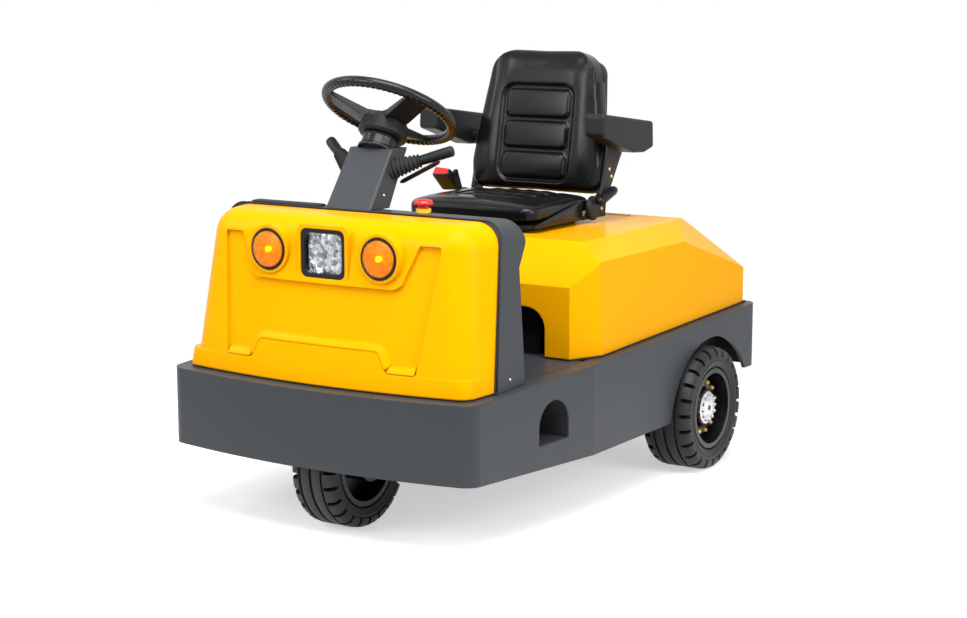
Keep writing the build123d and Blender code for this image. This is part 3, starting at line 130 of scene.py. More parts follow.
# %% Floor
FLOOR_HALF = 40.0
SHEET_GREY = (0.74, 0.74, 0.74, 1)
SHEET_GLOW = 0.52                    # the light that the sheet adds for the rays that see it directly
SHEET_NEAR, SHEET_FAR = 1.3, 3.2     # radii between which the sheet turns into the plain backdrop
floor_mesh = bpy.data.meshes.new("floor")
corners = [(x * FLOOR_HALF, y * FLOOR_HALF, 0) for x, y in ((-1, -1), (1, -1), (1, 1), (-1, 1))]
floor_mesh.from_pydata(corners, [], [(0, 1, 2, 3)])
floor = bpy.data.objects.new("floor", floor_mesh)
bpy.context.collection.objects.link(floor)
floor_material, tree, output = new_material("floor_sheet")
sheet = add_node(tree, "BsdfDiffuse", Color=SHEET_GREY)
glow = add_node(tree, "Emission")
lift = add_node(tree, "Math", operation="MULTIPLY")
lift.inputs[1].default_value = SHEET_GLOW
both = add_node(tree, "AddShader")
place = add_node(tree, "TexCoord")
away = add_node(tree, "VectorMath", operation="LENGTH")
fade = add_node(tree, "MapRange", interpolation_type="SMOOTHSTEP", From_Min=SHEET_NEAR, From_Max=SHEET_FAR)
share = add_node(tree, "Math", operation="MULTIPLY")
backdrop = add_node(tree, "Emission")
meet = add_node(tree, "MixShader")
link_all(
    tree,
    (seen_directly(tree), lift.inputs[0]),
    (lift.outputs[0], glow.inputs["Strength"]),
    (sheet.outputs[0], both.inputs[0]),
    (glow.outputs[0], both.inputs[1]),
    (place.outputs["Object"], away.inputs[0]),
    (away.outputs["Value"], fade.inputs["Value"]),
    (fade.outputs["Result"], share.inputs[0]),
    (seen_directly(tree), share.inputs[1]),
    (share.outputs[0], meet.inputs[0]),
    (both.outputs[0], meet.inputs[1]),
    (backdrop.outputs[0], meet.inputs[2]),
    (meet.outputs[0], output.inputs["Surface"]),
)
floor_mesh.materials.append(floor_material)
print("floor fades from", SHEET_NEAR, "to", SHEET_FAR, "m")

# %% [markdown]
# ## World
# The studio is a white room. Seen directly it is pure white, while as light on the tractor it is much
# weaker, because paint under an all-round white glow would look milky.

# %% World
WORLD_LIGHT = 0.37
WHITE = (1, 1, 1, 1)
world = bpy.data.worlds.new("studio")
bpy.context.scene.world = world
world.use_nodes = True
tree = world.node_tree
tree.nodes.clear()
output = add_node(tree, "OutputWorld")
soft = add_node(tree, "Background", Color=WHITE, Strength=WORLD_LIGHT)
white = add_node(tree, "Background", Color=WHITE, Strength=1.0)
mix = add_node(tree, "MixShader")
link_all(
    tree,
    (seen_directly(tree), mix.inputs[0]),
    (soft.outputs[0], mix.inputs[1]),
    (white.outputs[0], mix.inputs[2]),
    (mix.outputs[0], output.inputs["Surface"]),
)
bpy.context.scene.view_settings.view_transform = "Standard"
print("world light:", WORLD_LIGHT)

# %% [markdown]
# ## Lamps
# Three large soft lamps: one high over the tractor, one at the front as the key, one at the side that
# opens the skirt and the wheels. Large lamps give soft shadows. Two narrow strips draw bright lines
# along the rolls of the vinyl and the round edges of the hoods.


# %% Lamps
def soft_lamp(name, place, target, size, power):
    """Area lamp that shines at the target: turned by atan2(flat, z) about X, then by atan2(x, -y) about Z."""
    data = bpy.data.lights.new(name, "AREA")
    data.shape = "RECTANGLE"
    data.size, data.size_y = size
    data.energy = power
    lamp = bpy.data.objects.new(name, data)
    lamp.location = place
    way = np.array(place) - np.array(target)
    flat = math.hypot(way[0], way[1])
    lamp.rotation_euler = (math.atan2(flat, way[2]), 0, math.atan2(way[0], -way[1]))
    bpy.context.collection.objects.link(lamp)


LAMPS = [
    # name, place, target, width and height, watts
    ("lamp_top", (1.0, -1.8, 4.4), (0, 0, 0.6), (3.0, 3.0), 275),
    ("lamp_key", (-1.6, -5.2, 3.2), (0, 0, 0.7), (2.4, 2.0), 118),
    ("lamp_side", (5.2, -0.6, 2.4), (0, 0, 0.6), (2.6, 2.4), 125),
    ("strip_left", (-3.4, -2.4, 3.2), (0, 0.2, 0.9), (0.35, 2.6), 45),
    ("strip_right", (3.4, -1.2, 3.6), (0, 0.2, 0.9), (0.35, 2.6), 45),
]
for lamp in LAMPS:
    soft_lamp(*lamp)
print("lamps:", len(LAMPS))

# %% [markdown]
# ## Shared surface effects
# Paint, plastic and rubber all have a fine unevenness. It is one node group with named inputs, used by
# every material with its own scale and depth, so that a change to it reaches them all.


# %% Surface effect groups
def effect_group(name, inputs, outputs):
    """Empty node group with named float inputs and outputs; gives back (group, input node, output node)."""
    group = bpy.data.node_groups.new(name, "ShaderNodeTree")
    for label, default in inputs:
        socket = group.interface.new_socket(label, in_out="INPUT", socket_type="NodeSocketFloat")
        socket.default_value = default
    for label, kind in outputs:
        group.interface.new_socket(label, in_out="OUTPUT", socket_type=kind)
    return group, group.nodes.new("NodeGroupInput"), group.nodes.new("NodeGroupOutput")


def grain_group(name, with_edges):
    """Group that bumps the surface with fine noise, and rounds hard edges in the shading when asked."""
    inputs = [("Scale", 600.0), ("Depth", 0.05), ("Rough Low", 0.3), ("Rough High", 0.4), ("Edge", 0.003)]
    outputs = [("Normal", "NodeSocketVector"), ("Roughness", "NodeSocketFloat")]
    group, g_in, g_out = effect_group(name, inputs if with_edges else inputs[:-1], outputs)
    place = add_node(group, "TexCoord")
    noise = add_node(group, "TexNoise", Detail=2.0)
    bump = add_node(group, "Bump", Distance=0.001)
    cloud = add_node(group, "TexNoise", Scale=4.0, Detail=3.0)
    span = add_node(group, "MapRange")
    link_all(
        group,
        (place.outputs["Object"], noise.inputs["Vector"]),
        (place.outputs["Object"], cloud.inputs["Vector"]),
        (g_in.outputs["Scale"], noise.inputs["Scale"]),
        (g_in.outputs["Depth"], bump.inputs["Strength"]),
        (noise.outputs["Fac"], bump.inputs["Height"]),
        (cloud.outputs["Fac"], span.inputs["Value"]),
        (g_in.outputs["Rough Low"], span.inputs["To Min"]),
        (g_in.outputs["Rough High"], span.inputs["To Max"]),
        (bump.outputs["Normal"], g_out.inputs["Normal"]),
        (span.outputs["Result"], g_out.inputs["Roughness"]),
    )
    if with_edges:
        edge = add_node(group, "Bevel", samples=4)
        round_off = (edge.outputs["Normal"], bump.inputs["Normal"])
        link_all(group, (g_in.outputs["Edge"], edge.inputs["Radius"]), round_off)
    return group


fine_grain = grain_group("fine_grain", False)
edged_grain = grain_group("edged_grain", True)
print("surface groups:", fine_grain.name, edged_grain.name)

# %% [markdown]
# ## Finishes
# The real machine has powder-coated yellow hoods, a satin grey chassis, black plastic and rubber, and a few
# bright metal parts. Each finish is a Principled shader whose colour and gloss are set on its own sockets,
# and only the unevenness comes from the group. Image textures would need a layout of every panel, so the
# finishes are worked out from formulas instead.


# %% Finishes
def finish(name, color, rough, scale=600.0, depth=0.05, edge=0.0, gloss=0.5, **sockets):
    """Principled material: plain colour, roughness that wanders between two values, fine grain as bump."""
    material, tree, output = new_material(name)
    shader = add_node(tree, "BsdfPrincipled", Base_Color=(*color, 1), Specular_IOR_Level=gloss, **sockets)
    grain = add_node(tree, "Group", node_tree=edged_grain if edge else fine_grain, Scale=scale, Depth=depth,
                     Rough_Low=rough[0], Rough_High=rough[1])
    if edge:
        grain.inputs["Edge"].default_value = edge
    link_all(
        tree,
        (grain.outputs["Normal"], shader.inputs["Normal"]),
        (grain.outputs["Roughness"], shader.inputs["Roughness"]),
        (shader.outputs[0], output.inputs["Surface"]),
    )
    return material


# name, colour, least and most roughness, grain scale and depth, rounding of the edges in metres
yellow_paint = finish("yellow_paint", (0.73, 0.318, 0.0), (0.22, 0.30), 250, 0.03, 0.006, gloss=0.03)
grey_paint = finish("grey_paint", (0.032, 0.036, 0.041), (0.34, 0.44), 900, 0.10, 0.006, gloss=0.22)
frame_paint = finish("frame_paint", (0.03, 0.031, 0.034), (0.5, 0.65), 700, 0.08, gloss=0.25)
black_plastic = finish("black_plastic", (0.009, 0.009, 0.010), (0.34, 0.46), 900, 0.35, 0.003, gloss=0.2)
black_gloss = finish("black_gloss", (0.007, 0.007, 0.008), (0.20, 0.28), 1200, 0.05, 0.002, gloss=0.25)
black_vinyl = finish("black_vinyl", (0.003, 0.003, 0.0035), (0.20, 0.28), 1100, 0.08, gloss=0.22)
dark_rubber = finish("dark_rubber", (0.016, 0.016, 0.017), (0.6, 0.75), 900, 0.15, gloss=0.25)
tyre_rubber = finish("tyre_rubber", (0.010, 0.010, 0.011), (0.42, 0.56), 700, 0.15, gloss=0.3)
rim_paint = finish("rim_paint", (0.006, 0.006, 0.007), (0.24, 0.34), 600, 0.05, 0.003, gloss=0.35)
hub_steel = finish("hub_steel", (0.62, 0.62, 0.64), (0.22, 0.36), 500, 0.04, Metallic=1.0)
brass = finish("brass", (0.95, 0.62, 0.22), (0.25, 0.38), 500, 0.04, Metallic=0.7)
axle_iron = finish("axle_iron", (0.05, 0.05, 0.055), (0.55, 0.7), 300, 0.4, gloss=0.25)
red_plastic = finish("red_plastic", (0.70, 0.015, 0.012), (0.22, 0.30), 400, 0.02, 0.003)
yellow_plastic = finish("yellow_plastic", (0.9, 0.50, 0.01), (0.3, 0.4), 400, 0.02)
amber_lens = finish("amber_lens", (1.0, 0.50, 0.0), (0.04, 0.08), 60, 0.2, Transmission_Weight=0.85, IOR=1.28)
amber_dish = finish("amber_dish", (1.0, 0.50, 0.04), (0.3, 0.4), 60, 0.1)
# the bulb's glow is a painted highlight for the hot centre of the lens: the lamp is not lit
bulb_painted_highlight = finish("bulb_painted_highlight", (1.0, 0.75, 0.35), (0.1, 0.2), 60, 0.1, Emission_Strength=2.5,
                   Emission_Color=(1, 0.8, 0.4, 1))
clear_lens = finish("clear_lens", (0.95, 0.97, 0.98), (0.02, 0.05), 60, 0.1, Transmission_Weight=1.0, IOR=1.3)
mirror_dish = finish("mirror_dish", (0.55, 0.56, 0.58), (0.18, 0.28), 60, 0.1, Metallic=1.0)
red_lens = finish("red_lens", (0.45, 0.01, 0.01), (0.12, 0.18), 60, 0.2, Coat_Weight=0.5)
print("materials:", len(bpy.data.materials))

# %% [markdown]
# ## Dishes with painted reflections
# A lamp's dish is pressed with small facets, and each reflects another part of the room, some bright, some
# dark. In small lamps those reflections are painted into the dish's colour as a pattern of light and dark
# cells, more cheaply than thousands of real facets. The group is shared by the silvered dish and the amber
# ones.

# %% Dishes with painted reflections
# painted reflections: each cell's colour lies between the Dark and the Light colour
painted_reflection_cells, g_in, g_out = effect_group("painted_reflection_cells", [("Scale", 120.0)], [("Color", "NodeSocketColor")])
for label in ("Dark", "Light"):
    painted_reflection_cells.interface.new_socket(label, in_out="INPUT", socket_type="NodeSocketColor")
place = add_node(painted_reflection_cells, "TexCoord")
cells = add_node(painted_reflection_cells, "TexVoronoi")
split = add_node(painted_reflection_cells, "SeparateColor")
blend = add_node(painted_reflection_cells, "Mix", data_type="RGBA")
link_all(
    painted_reflection_cells,
    (place.outputs["Object"], cells.inputs["Vector"]),
    (g_in.outputs["Scale"], cells.inputs["Scale"]),
    (cells.outputs["Color"], split.inputs["Color"]),
    (split.outputs["Red"], blend.inputs["Factor"]),
    (g_in.outputs["Dark"], blend.inputs["A"]),
    (g_in.outputs["Light"], blend.inputs["B"]),
    (blend.outputs["Result"], g_out.inputs["Color"]),
)
PAINTED_REFLECTION_DISHES = [
    # material, cells per metre, darkest and brightest colour of the painted reflections
    (mirror_dish, 90, (0.16, 0.165, 0.17), (0.85, 0.86, 0.88)),
    (amber_dish, 110, (0.62, 0.15, 0.0), (1.0, 0.62, 0.02)),
]
# the cells of painted reflection take the place of each dish's base colour
for material, scale, dark, light in PAINTED_REFLECTION_DISHES:
    tree = material.node_tree
    spots = add_node(tree, "Group", node_tree=painted_reflection_cells, Scale=scale, Dark=(*dark, 1), Light=(*light, 1))
    shader = next(node for node in tree.nodes if node.type == "BSDF_PRINCIPLED")
    link_all(tree, (spots.outputs["Color"], shader.inputs["Base Color"]))
    print("painted_reflections_on:", material.name)

# %% [markdown]
# ## Finishes on the CAD nodes
# The imported model.glb brings every CAD node as one mesh with its own slots. A table names the finish of
# each node by what the real piece is made of, which is easier to check than a line of code per node.

# %% Finishes on the CAD nodes
NODE_FINISH = {
    yellow_paint: ["front_hood", "rear_hood"],
    grey_paint: ["chassis_skirt", "dash_cowl", "column_cover", "floor_plate", "tow_coupler"],
    frame_paint: ["deck_plate", "inner_frame", "step_pockets", "steer_fork", "back_frame"],
    black_plastic: [
        "battery", "controller_box", "column_levers", "steering_hub", "seat_base", "hinge_covers",
        "belt_buckle", "back_shell", "armrest_left", "armrest_right",
    ],
    black_gloss: ["steering_wheel", "lamp_bodies"],
    black_vinyl: ["seat_cushion", "backrest"],
    dark_rubber: ["hood_gaskets", "pedals"],
    tyre_rubber: ["front_tyre", "rear_left_tyre", "rear_right_tyre"],
    rim_paint: ["front_rim", "rear_left_rim", "rear_right_rim"],
    hub_steel: ["rear_left_hub_cap", "rear_right_hub_cap", "front_axle"],
    axle_iron: ["drive_axle"],
    red_plastic: ["stop_button"],
    yellow_plastic: ["stop_collar"],
    amber_lens: ["turn_lamps"],
    clear_lens: ["headlamp_lens"],
    red_lens: ["tail_lamps"],
}
for material, names in NODE_FINISH.items():
    for name in names:
        for slot in nodes[name].material_slots:
            slot.material = material
print("finished nodes:", sum(len(names) for names in NODE_FINISH.values()), "of", len(nodes))

# %% [markdown]
# ## Making surfaces
# Every new piece is a grid of points from a formula. The helpers below join such grids into closed meshes,
# weld doubled points at poles and seams, turn the faces outward and mark edges sharper than an angle.


# %% Surface helpers
def grid_faces(rows, cols, wrap_rows=False, wrap_cols=False):
    """Quads (a,b), (a+1,b), (a+1,b+1), (a,b+1) of a rows x cols grid, joined end to end where it wraps."""
    a, b = np.meshgrid(np.arange(rows - (not wrap_rows)), np.arange(cols - (not wrap_cols)), indexing="ij")
    up, over = (a + 1) % rows, (b + 1) % cols
    return np.stack([a * cols + b, up * cols + b, up * cols + over, a * cols + over], axis=-1).reshape(-1, 4)


def put_piece(name, points, faces, body, material, slot, sharp_deg=40.0, node=None):
    """Mesh object from points and faces. It rides on a body, shows a material and may stand for a CAD node."""
    mesh = bpy.data.meshes.new(name)
    mesh.from_pydata(np.asarray(points, dtype=float).reshape(-1, 3).tolist(), [], np.asarray(faces).tolist())
    work = bmesh.new()
    work.from_mesh(mesh)
    bmesh.ops.remove_doubles(work, verts=work.verts, dist=1e-6)
    bmesh.ops.dissolve_degenerate(work, edges=work.edges, dist=1e-7)
    bmesh.ops.recalc_face_normals(work, faces=work.faces)
    work.to_mesh(mesh)
    work.free()
    mesh.shade_smooth()
    mesh.set_sharp_from_angle(angle=math.radians(sharp_deg))
    mesh.materials.append(material)
    piece = bpy.data.objects.new(name, mesh)
    bpy.context.collection.objects.link(piece)
    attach(piece, body)
    if node:
        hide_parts(node)
    return piece


def across(axis):
    """Unit axis and two unit directions across it that make a right-handed set: u x v = axis."""
    axis = np.asarray(axis, dtype=float) / np.linalg.norm(axis)
    side = np.array([0.0, 0.0, 1.0]) if abs(axis[2]) < 0.9 else np.array([0.0, 1.0, 0.0])
    u = np.cross(side, axis)
    u /= np.linalg.norm(u)
    return axis, u, np.cross(axis, u)


def turned(profile, centre, axis, steps):
    """Surface of revolution of (radius, along): centre + axis * along + radius * (u cos t + v sin t)."""
    axis, u, v = across(axis)
    profile = np.asarray(profile, dtype=float)
    t = np.arange(steps) * 2 * np.pi / steps
    ring = np.cos(t)[:, None] * u + np.sin(t)[:, None] * v
    points = centre + profile[None, :, 1, None] * axis + profile[None, :, 0, None] * ring[:, None, :]
    return points.reshape(-1, 3), grid_faces(steps, len(profile), wrap_rows=True)


def joined(parts):
    """One list of points and one of faces from several (points, faces) pairs of equal face size."""
    points, faces, base = [], [], 0
    for p, f in parts:
        points.append(np.asarray(p).reshape(-1, 3))
        faces.append(np.asarray(f) + base)
        base += len(points[-1])
    return np.concatenate(points), np.concatenate(faces)


def copies(part, offsets):
    """The same (points, faces) put at each offset."""
    points, faces = part
    offsets = np.asarray(offsets, dtype=float)
    many = points[None] + offsets[:, None, :]
    shift = np.arange(len(offsets)) * len(points)
    return many.reshape(-1, 3), (faces[None] + shift[:, None, None]).reshape(-1, faces.shape[1])


def smooth_step(x, low, high):
    """3s^2 - 2s^3 with s = (x - low) / (high - low) held between 0 and 1."""
    s = np.clip((x - low) / (high - low), 0.0, 1.0)
    return s * s * (3 - 2 * s)


def swept(path, radii, steps=16, flat=1.0):
    """Tube along a path: ring k = path[k] + radii[k] (u cos t + flat v sin t), each end drawn to a point."""
    path = np.asarray(path, dtype=float)
    radii = np.asarray(radii, dtype=float)
    way = np.gradient(path, axis=0)
    way /= np.linalg.norm(way, axis=1)[:, None]
    u = np.cross(way, [0.0, 0.0, 1.0])
    u /= np.linalg.norm(u, axis=1)[:, None]
    v = np.cross(u, way)
    t = np.arange(steps) * 2 * np.pi / steps
    ring = np.cos(t)[None, :, None] * u[:, None] + flat * np.sin(t)[None, :, None] * v[:, None]
    points = path[:, None] + radii[:, None, None] * ring
    ends = np.repeat(path[[0, -1]][:, None], steps, axis=1)
    points = np.concatenate([ends[:1], points, ends[1:]])
    return points.reshape(-1, 3), grid_faces(len(path) + 2, steps, wrap_cols=True)


print("surface helpers ready")

# %% [markdown]
# ## Solid tyres
# A solid tyre is moulded rubber: a crown with four ribs, blocks around both shoulders and a plain wall
# that runs in to the steel rim. One profile is turned around the axle. Where the angle falls in a notch, the
# shoulder points sink inwards. The rings of points stand close together at the notches' walls and far
# apart elsewhere, so that the walls are steep with few faces. A boolean for each notch would be slower.

# %% Tyres
LUGS = 24
BEAD_R = 0.132
# shares of a block's pitch with a ring of points; the notch of one shoulder lies between 0 and 0.25, and
# the other shoulder's between 0.5 and 0.75
MARKS = np.array([0.0, 0.03, 0.22, 0.25, 0.35, 0.5, 0.52, 0.68, 0.70, 0.85])
NOTCH_FROM, NOTCH_TO = 0.01, 0.24
NOTCH_DEEP, NOTCH_IN = 0.026, 0.014     # how far the notch's floor lies below the crown and in from the side
SHOULDER_WIDE, SHOULDER_DEEP = 0.033, 0.0315


def tyre(name, node, body, centre, radius, width):
    """Closed ring: profile (x, r) turned by angle t, with x and r drawn in where t lies in a notch."""
    h = width / 2
    half = np.array([
        (0.000, radius - 0.008), (0.004, radius - 0.008), (0.005, radius - 0.001), (0.008, radius),
        (0.020, radius), (0.033, radius), (0.036, radius - 0.001), (0.037, radius - 0.008),
        (0.043, radius - 0.008), (0.044, radius - 0.001), (0.047, radius), (h - 0.034, radius),
        (h - 0.032, radius - 0.0003), (h - 0.018, radius - 0.002), (h - 0.009, radius - 0.007),
        (h - 0.003, radius - 0.015), (h - 0.0005, radius - 0.026), (h - 0.001, radius - 0.031),
        (h - 0.004, radius - 0.034), (h - 0.0035, radius - 0.045), (h - 0.0045, BEAD_R + 0.034),
        (h - 0.0025, BEAD_R + 0.031), (h - 0.0045, BEAD_R + 0.028), (h - 0.009, BEAD_R + 0.013),
        (h - 0.014, BEAD_R + 0.0105), (h - 0.020, BEAD_R + 0.009), (h - 0.022, BEAD_R),
    ])
    left = half[::-1] * (-1, 1)
    profile = np.concatenate([left[:-1], half])
    part = (np.arange(LUGS)[:, None] + MARKS[None]).reshape(-1)
    t = part * 2 * np.pi / LUGS
    x = np.repeat(profile[None, :, 0], len(t), axis=0)
    r = np.repeat(profile[None, :, 1], len(t), axis=0)
    phase = np.where(profile[:, 0] > 0, 0.0, 0.5)
    place = np.mod(part[:, None] - phase[None] + 1e-9, 1.0)
    notch = (place > NOTCH_FROM) & (place < NOTCH_TO)
    notch &= (np.abs(x) > h - SHOULDER_WIDE) & (r > radius - SHOULDER_DEEP)
    r = np.where(notch, np.minimum(r, radius - NOTCH_DEEP), r)
    x = np.where(notch, np.clip(x, -h + NOTCH_IN, h - NOTCH_IN), x)
    y, z = centre[1] + r * np.sin(t)[:, None], centre[2] + r * np.cos(t)[:, None]
    faces = grid_faces(len(t), len(profile), wrap_rows=True, wrap_cols=True)
    points = np.stack([centre[0] + x, y, z], axis=-1)
    return put_piece(name, points, faces, body, tyre_rubber, "tyre", sharp_deg=32, node=node)


WHEELS = [
    # name, CAD node, body, radius, width
    ("tyre_rear_left", "rear_left_tyre", "rear_left_wheel", 0.212, 0.180),
    ("tyre_rear_right", "rear_right_tyre", "rear_right_wheel", 0.212, 0.180),
    ("tyre_front", "front_tyre", "front_wheel", 0.205, 0.160),
]
WHEEL_CENTRE = {}
for name, node, body, radius, width in WHEELS:
    low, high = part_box(node)
    centre = (np.array(low) + np.array(high)) / 2
    WHEEL_CENTRE[body] = centre
    made = tyre(name, node, body, centre, radius, width)
    print(name, "faces:", len(made.data.polygons), "centre:", centre.round(3))

# %% [markdown]
# ## Nuts and bolts on the wheels
# Twelve brass-coloured nuts stand on a raised ring and hold the rim's disc, and twelve socket bolts hold the
# hub's bright flange. Each is a small turned shape with six or twelve sides. It is worked out once and its
# points are copied around the axle, which gives one light piece per ring of fasteners.


# %% Wheel fasteners
def hex_nut(size, height, axis):
    """Six-sided nut with a bevelled top and the stud's rounded end in it, standing on the origin."""
    r = size / math.cos(math.pi / 6)
    body = turned([(0.0, 0.0), (r, 0.0), (r, height * 0.8), (r * 0.85, height), (0.0, height)], 0.0, axis, 6)
    foot, top = height * 0.9, height * 1.45
    stud_end = [(0.0, foot), (size * 0.55, foot), (size * 0.5, height * 1.35), (0.0, top)]
    return joined([body, turned(stud_end, 0.0, axis, 10)])


def cap_bolt(size, height, axis):
    """Round head with a soft edge and a round socket."""
    return turned([(0.0, 0.0), (size, 0.0), (size, height * 0.75), (size * 0.85, height), (size * 0.5, height),
                   (size * 0.45, height * 0.5), (0.0, height * 0.5)], 0.0, axis, 12)


def ring_places(centre, axis, radius, count, start):
    """Places on a circle: centre + radius (u cos t + v sin t), the first at t = start."""
    _, u, v = across(axis)
    t = start + np.arange(count) * 2 * np.pi / count
    return centre + radius * (np.cos(t)[:, None] * u + np.sin(t)[:, None] * v)


FASTENERS = 12
RING_STAND, RING_THICK = 0.010, 0.0278     # the ring's foot from the wheel's middle, its face from there
FLANGE_FACE = 0.0625                       # the hub flange's face from the wheel's middle
NUT_CIRCLE, BOLT_CIRCLE = 0.086, 0.043
STUD_RING = [
    (0.0625, -0.001), (0.105, -0.001), (0.105, 0.020), (0.101, 0.026), (0.098, 0.028), (0.074, 0.028),
    (0.071, 0.026), (0.066, 0.012), (0.0625, 0.008), (0.0625, -0.001),
]
for label, side in (("left", 1), ("right", -1)):
    body = "rear_" + label + "_wheel"
    axis = np.array([side, 0, 0])
    disc = WHEEL_CENTRE[body] + axis * RING_STAND
    put_piece("stud_ring_" + label, *turned(STUD_RING, disc, axis, 72), body, rim_paint, "rim_paint")
    nuts = ring_places(disc + axis * RING_THICK, axis, NUT_CIRCLE, FASTENERS, 0.2)
    put_piece("rim_nuts_" + label, *copies(hex_nut(0.0068, 0.010, axis), nuts), body, brass, "hub_steel")
    flange = WHEEL_CENTRE[body] + axis * (FLANGE_FACE - 0.0002)
    bolts = copies(cap_bolt(0.0058, 0.008, axis), ring_places(flange, axis, BOLT_CIRCLE, FASTENERS, 0.1))
    put_piece("hub_bolts_" + label, *bolts, body, hub_steel, "hub_steel")
print("wheel fasteners on each side:", 2 * FASTENERS)

# %% [markdown]
# ## Steering wheel
# The rim is a foam ring over steel, smooth on top and with finger notches underneath. The ring's tube gets
# thinner by two millimetres between the notches, only on the side away from the driver. A torus with a
# displacement texture would do as well, but here the notches are simply part of the radius.

# %% Steering rim
WHEEL_MID = np.array([-0.055, -0.462, 1.258])
STEER_LEAN = math.radians(30)
STEER_AXIS = np.array([0.0, math.sin(STEER_LEAN), math.cos(STEER_LEAN)])
RIM_R, RIM_TUBE, NOTCH_CUT, FINGERS = 0.205, 0.0172, 0.0019, 72
AROUND, TUBE = 360, 20
axis, u, v = across(STEER_AXIS)
around = np.arange(AROUND) * 2 * np.pi / AROUND
tube = np.arange(TUBE) * 2 * np.pi / TUBE
under = np.clip(-np.sin(tube), 0, 1) ** 0.7
notch = 0.5 + 0.5 * np.cos(around * FINGERS)
radius = RIM_TUBE - NOTCH_CUT * notch[:, None] * under[None]
ring = np.cos(around)[:, None] * u + np.sin(around)[:, None] * v
points = (WHEEL_MID + (RIM_R + radius * np.cos(tube)[None])[..., None] * ring[:, None]
          + (radius * np.sin(tube)[None])[..., None] * axis)
put_piece("steering_rim", points, grid_faces(AROUND, TUBE, True, True), "steering", black_gloss, "black_gloss",
          sharp_deg=180, node="steering_wheel")
print("steering rim:", AROUND * TUBE, "faces")

# %% [markdown]
# ## Horn button and neck cover
# The horn button closes the wheel's hub, and a ribbed collar hides the gap where the shaft leaves the
# column. Both are turned around the steering axis from a profile of radius and height.

# %% Horn button and neck cover
button = [(0.0, -0.0120), (0.020, -0.0128), (0.034, -0.0150), (0.042, -0.0195), (0.043, -0.026), (0.0, -0.026)]
button = turned(button, WHEEL_MID, STEER_AXIS, 48)
put_piece("horn_button", *button, "steering", black_plastic, "black_plastic")
cover = [
    (0.050, -0.1410), (0.062, -0.1410), (0.063, -0.1395), (0.063, -0.1320), (0.0615, -0.1300),
    (0.0575, -0.1280), (0.0565, -0.1120), (0.0565, -0.1010), (0.0590, -0.0990), (0.0600, -0.0975),
    (0.0590, -0.0950), (0.050, -0.0950), (0.050, -0.1410),
]
put_piece("neck_cover", *turned(cover, WHEEL_MID, STEER_AXIS, 64), "chassis", black_gloss, "black_plastic")
print("horn button and neck cover made")

# %% [markdown]
# ## Levers
# A direction lever at each side of the column comes out of a rubber bellows. The bellows is a cone whose
# radius waves seven times along it, and the grip is a tapered handle with a rounded end. A flat lever lies
# under the right one. Cones and handles are turned, and only the flat lever follows a path.

# %% Levers with bellows
LEVERS = [
    # root, tip
    (np.array([-0.131, -0.562, 1.078]), np.array([-0.261, -0.500, 1.161])),
    (np.array([0.021, -0.552, 1.088]), np.array([0.199, -0.480, 1.148])),
]
FOLDS, FOLD_DEEP = 7, 0.0055
BELLOWS_FROM, BELLOWS_LONG = -0.004, 0.092
BELLOWS_FOOT_R, BELLOWS_TAPER = 0.034, 0.012
GRIP_FROM, GRIP_R, GRIP_SWELL = 0.070, 0.0145, 0.0028
bellows, grips = [], []
for root, tip in LEVERS:
    way = tip - root
    length = np.linalg.norm(way)
    s = np.linspace(0, 1, 8 * FOLDS + 1)
    fold = 0.5 + 0.5 * np.cos(s * 2 * np.pi * FOLDS)
    r = BELLOWS_FOOT_R - BELLOWS_TAPER * s - FOLD_DEEP * (1 - fold)
    cone = [*zip(r, BELLOWS_LONG * s + BELLOWS_FROM)]
    bellows.append(turned([(0.0, BELLOWS_FROM), *cone, (0.0, BELLOWS_LONG)], root, way, 32))
    s = np.linspace(0, 1, 12)
    along = GRIP_FROM + (length - GRIP_FROM - 0.008) * s
    handle = [*zip(GRIP_R + GRIP_SWELL * np.sin(s * np.pi * 0.6), along)]
    end = [(0.0160, length - 0.004), (0.0120, length - 0.0008), (0.0, length)]
    grips.append(turned([(0.0, GRIP_FROM), *handle, *end], root, way, 28))
put_piece("bellows", *joined(bellows), "chassis", dark_rubber, "gasket_rubber", sharp_deg=60)
FLAT_FROM, FLAT_WAY = np.array([0.024, -0.519, 1.042]), np.array([0.146, 0.006, 0.074])
s = np.linspace(0, 1, 16)
flat_r = 0.0125 * np.sqrt(np.clip(1 - (2 * s - 1) ** 16, 0.03, 1))
flat = swept(FLAT_FROM + s[:, None] * FLAT_WAY, flat_r, 20, 0.55)
handles = joined([*grips, flat])
put_piece("lever_grips", *handles, "chassis", black_plastic, "black_plastic", node="column_levers")
print("bellows folds:", FOLDS, "on each of", len(LEVERS), "levers")

# %% [markdown]
# ## Direction lamps
# A direction lamp is a domed plastic lens, clear enough to show the bulb. The bulb glows as a painted
# highlight, the hot centre that the unlit lamp shows in its lens. The dome has fine rings moulded in, and
# behind it sits a dish that throws light forward. All three are turned from profiles of radius and distance
# from the lamp's body.

# %% Direction lamps
LAMP_X, LAMP_Y, LAMP_Z, LAMP_R = 0.206, -0.880, 0.860, 0.0558
LENS_WALL, LENS_RINGS, RING_DEEP = 0.003, 7, 0.0006
FRONT = np.array([0.0, -1.0, 0.0])


def lamp_pair(name, profile, steps, material, node=None):
    """One piece with the same turned profile at both lamps."""
    pair = [turned(profile, np.array([side * LAMP_X, LAMP_Y, LAMP_Z]), FRONT, steps) for side in (-1, 1)]
    put_piece(name, *joined(pair), "chassis", material, "amber_lens", sharp_deg=60, node=node)


